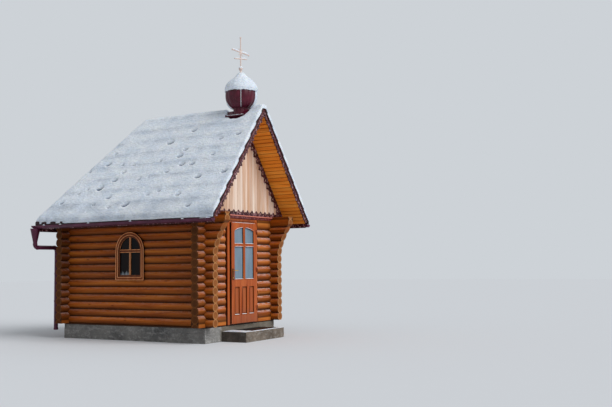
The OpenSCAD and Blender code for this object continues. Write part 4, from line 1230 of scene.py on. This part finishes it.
def gutter_fittings():
    """Hooks under the gutters, rings on the downpipe and snow on the hooks."""
    hook_ys, rear_hook_xs = (1.878, 1.402, 0.614, -0.505, -1.793), steps(-1.35, 1.35, 3)
    shape, snow = Shape(), Shape()
    radius = (gutter_hi.x - gutter_lo.x) / 2
    centre_x = (gutter_lo.x + gutter_hi.x) / 2
    rear_y = rear_gutter_hi.y - radius
    top = gutter_hi.z

    def hook(x, y, turned):
        """A flat strap under a gutter; turned ones hold the rear gutter."""
        wide, inner, outer = 0.028, radius + 0.0006, radius + 0.004
        rings = []
        for a in steps(0.0, math.pi, 14):
            ring = []
            for r, w in ((inner, -wide / 2), (inner, wide / 2), (outer, wide / 2),
                         (outer, -wide / 2)):
                u, v = r * math.cos(a), -r * math.sin(a)
                ring.append((x + w, y + u, top + v) if turned else (x + u, y + w, top + v))
            rings.append(ring)
        shape.skin(rings)

    for side in (-1, 1):
        for k, y in enumerate(hook_ys):
            hook(side * -centre_x, y, False)
            lip = side * (radius - centre_x)
            path = [(lip, v, top - 0.001) for v in steps(y - 0.03, y + 0.03, 6)]
            snow.drift(path, 0.014, 0.016, k + 3 * side)
        # A longer drift in the gutter's front end
        path = [(side * (0.018 - centre_x), ROOF_Y0 + 0.02 + 0.024 * i, top - 0.022)
                for i in range(15)]
        snow.drift(path, 0.075, 0.036, 20 + side)
    for x in rear_hook_xs:
        hook(x, rear_y, True)

    # Rings where the lengths of the downpipe meet: its foot, its level run and its hopper
    pipe, ring_half, elbow = 0.045, 0.016, 0.066
    foot, run_z = pipe_lo.z, 1.943

    def coupling(x, z, along):
        middle, half = Vector((x, rear_y, z)), Vector(along) * ring_half
        shape.tube([middle - half, middle + half], [pipe + 0.004] * 2, 32)

    for z in (foot + 0.02, foot + 0.62, foot + 1.22, run_z - elbow):
        coupling(-SIDE_X, z, (0, 0, 1))
    coupling(centre_x, run_z + elbow, (0, 0, 1))
    coupling(centre_x + elbow, run_z, (1, 0, 0))
    coupling(-SIDE_X - elbow, run_z, (1, 0, 0))
    piece("gutter_fittings", shape, "gutter_metal", crease=40)
    piece("gutter_snow", snow, "snow", crease=60)


# Foundation


def rough_block(low, high, spacing, rough, radius, seed):
    """A cast block with worn edges and an uneven skin; its underside stays flat."""
    counts = [graded(low[k], high[k], spacing, radius * 0.4) for k in range(3)]
    sizes = [len(c) for c in counts]
    index = {}
    points, faces = [], []

    def worn(p):
        """A point of the box's skin, moved in to the worn skin."""
        inner = Vector([min(max(p[k], low[k] + radius), high[k] - radius) for k in range(3)])
        if p.z < low[2] + radius:
            inner.z = p.z
        away = p - inner
        if away.length < 1e-9:
            return p
        away = away.normalized()
        on_edge = sum(abs(v) > 0.3 for v in away) > 1
        chip = 0.5 * radius * wave(p.x, p.y, p.z + seed, 0.05) if on_edge else 0.0
        relief = 0.5 + 0.35 * wave(p.x, p.y, p.z + seed, 0.16) + 0.25 * wave(*p, 0.045)
        return inner + away * (radius - chip - rough * relief)

    def vertex(key):
        if key not in index:
            index[key] = len(points)
            points.append(worn(Vector([counts[k][key[k]] for k in range(3)])))
        return index[key]

    for axis in range(3):
        a, b = (axis + 1) % 3, (axis + 2) % 3
        for end in (0, sizes[axis] - 1):
            for i in range(sizes[a] - 1):
                for j in range(sizes[b] - 1):
                    quad = []
                    for di, dj in ((0, 0), (1, 0), (1, 1), (0, 1)):
                        key = [0, 0, 0]
                        key[axis], key[a], key[b] = end, i + di, j + dj
                        quad.append(vertex(tuple(key)))
                    faces.append(tuple(quad))
    shape = Shape()
    shape.add(points, faces)
    return shape


def base_blocks():
    """The foundation and the entrance step, cast and worn, with a little snow on them."""
    block = rough_block(found_lo, found_hi, spacing=0.035, rough=0.006, radius=0.012, seed=1)
    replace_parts(piece("foundation_block", block, "concrete", crease=60), "foundation")
    slab = rough_block(step_lo, step_hi, spacing=0.022, rough=0.007, radius=0.014, seed=5)
    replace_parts(piece("step_slab", slab, "step_concrete", crease=60), "entrance_step")
    # On the left of the tread, and in a band along its front edge
    snow = Shape()
    z, front = step_hi.z - 0.005, step_lo.y
    snow.patch(step_lo.x + 0.02, -0.44, front + 0.03, found_lo.y - 0.01, z, 0.020, 3)
    snow.patch(-0.50, step_hi.x - 0.02, front + 0.015, front + 0.080, z, 0.010, 8)
    piece("step_snow", snow, "snow", crease=60)


for build in (roof_snow, tile_ends, soffit_boards, gable_planks, log_seams, dome_shell,
              dome_snow, dome_collar, cross_snow, door_trim, window_trim, gutter_fittings,
              base_blocks):
    build()


# Stage, light and camera

CAMERA_PLACE = (-14.452, -11.6305, 1.515)
CAMERA_YAW, CAMERA_PITCH, CAMERA_ROLL = (math.radians(v) for v in (60.453, 4.182, -0.652))
CAMERA_LENS = 49.065


def stage():
    """A wide pale floor."""
    mesh = bpy.data.meshes.new("floor")
    size = 60.0
    corners = [(-size, -size, 0), (size, -size, 0), (size, size, 0), (-size, size, 0)]
    mesh.from_pydata(corners, [], [(0, 1, 2, 3)])
    floor = bpy.data.objects.new("floor", mesh)
    bpy.context.scene.collection.objects.link(floor)
    mat = bpy.data.materials.new("floor")
    tree = Nodes(mat)
    pale = tree.node("ShaderNodeBsdfDiffuse", {0: srgb(220, 223, 227)})
    tree.node("ShaderNodeOutputMaterial", {0: pale})
    mesh.materials.append(mat)


def world():
    """Cool light from all round; the camera, mirrors and glass see a pale backdrop."""
    sky = bpy.data.worlds.new("sky")
    bpy.context.scene.world = sky
    tree = Nodes(sky)
    light = tree.node("ShaderNodeBackground", {0: (0.94, 0.97, 1.0, 1.0), 1: 0.44})
    pale = tree.node("ShaderNodeBackground", {0: srgb(205, 210, 215), 1: 1.0})
    seen = tree.node("ShaderNodeLightPath", {}, "Is Camera Ray")
    rays = seen.socket.node.outputs
    for name in ("Is Glossy Ray", "Is Transmission Ray"):
        seen = tree.math("MAXIMUM", seen, Value(tree, rays[name]))
    mix = tree.node("ShaderNodeMixShader", {0: seen, 1: light, 2: pale})
    tree.node("ShaderNodeOutputWorld", {0: mix})


def sun(name, towards, energy, angle):
    """A soft sun that shines towards a direction."""
    lamp = bpy.data.lights.new(name, "SUN")
    lamp.energy = energy
    lamp.angle = math.radians(angle)
    obj = bpy.data.objects.new(name, lamp)
    bpy.context.scene.collection.objects.link(obj)
    obj.rotation_mode = "QUATERNION"
    obj.rotation_quaternion = Vector(towards).to_track_quat("-Z", "Y")


def camera():
    """The photo's camera, found from the joints of the log walls."""
    ahead = math.cos(CAMERA_PITCH)
    forward = Vector((math.sin(CAMERA_YAW) * ahead, math.cos(CAMERA_YAW) * ahead,
                      math.sin(CAMERA_PITCH)))
    level = Vector((math.cos(CAMERA_YAW), -math.sin(CAMERA_YAW), 0.0))
    upright = level.cross(forward)
    right = math.cos(CAMERA_ROLL) * level + math.sin(CAMERA_ROLL) * upright
    up = -math.sin(CAMERA_ROLL) * level + math.cos(CAMERA_ROLL) * upright
    data = bpy.data.cameras.new("camera")
    data.sensor_width = 36.0
    data.lens = CAMERA_LENS
    data.clip_end = 200.0
    obj = bpy.data.objects.new("camera", data)
    bpy.context.scene.collection.objects.link(obj)
    rotation = Matrix((right, up, -forward)).transposed().to_4x4()
    obj.matrix_world = Matrix.Translation(CAMERA_PLACE) @ rotation
    bpy.context.scene.camera = obj


stage()
world()
sun("key", (0.06, 0.78, -0.62), 2.15, 40)
camera()
bpy.context.scene.view_settings.view_transform = "Standard"
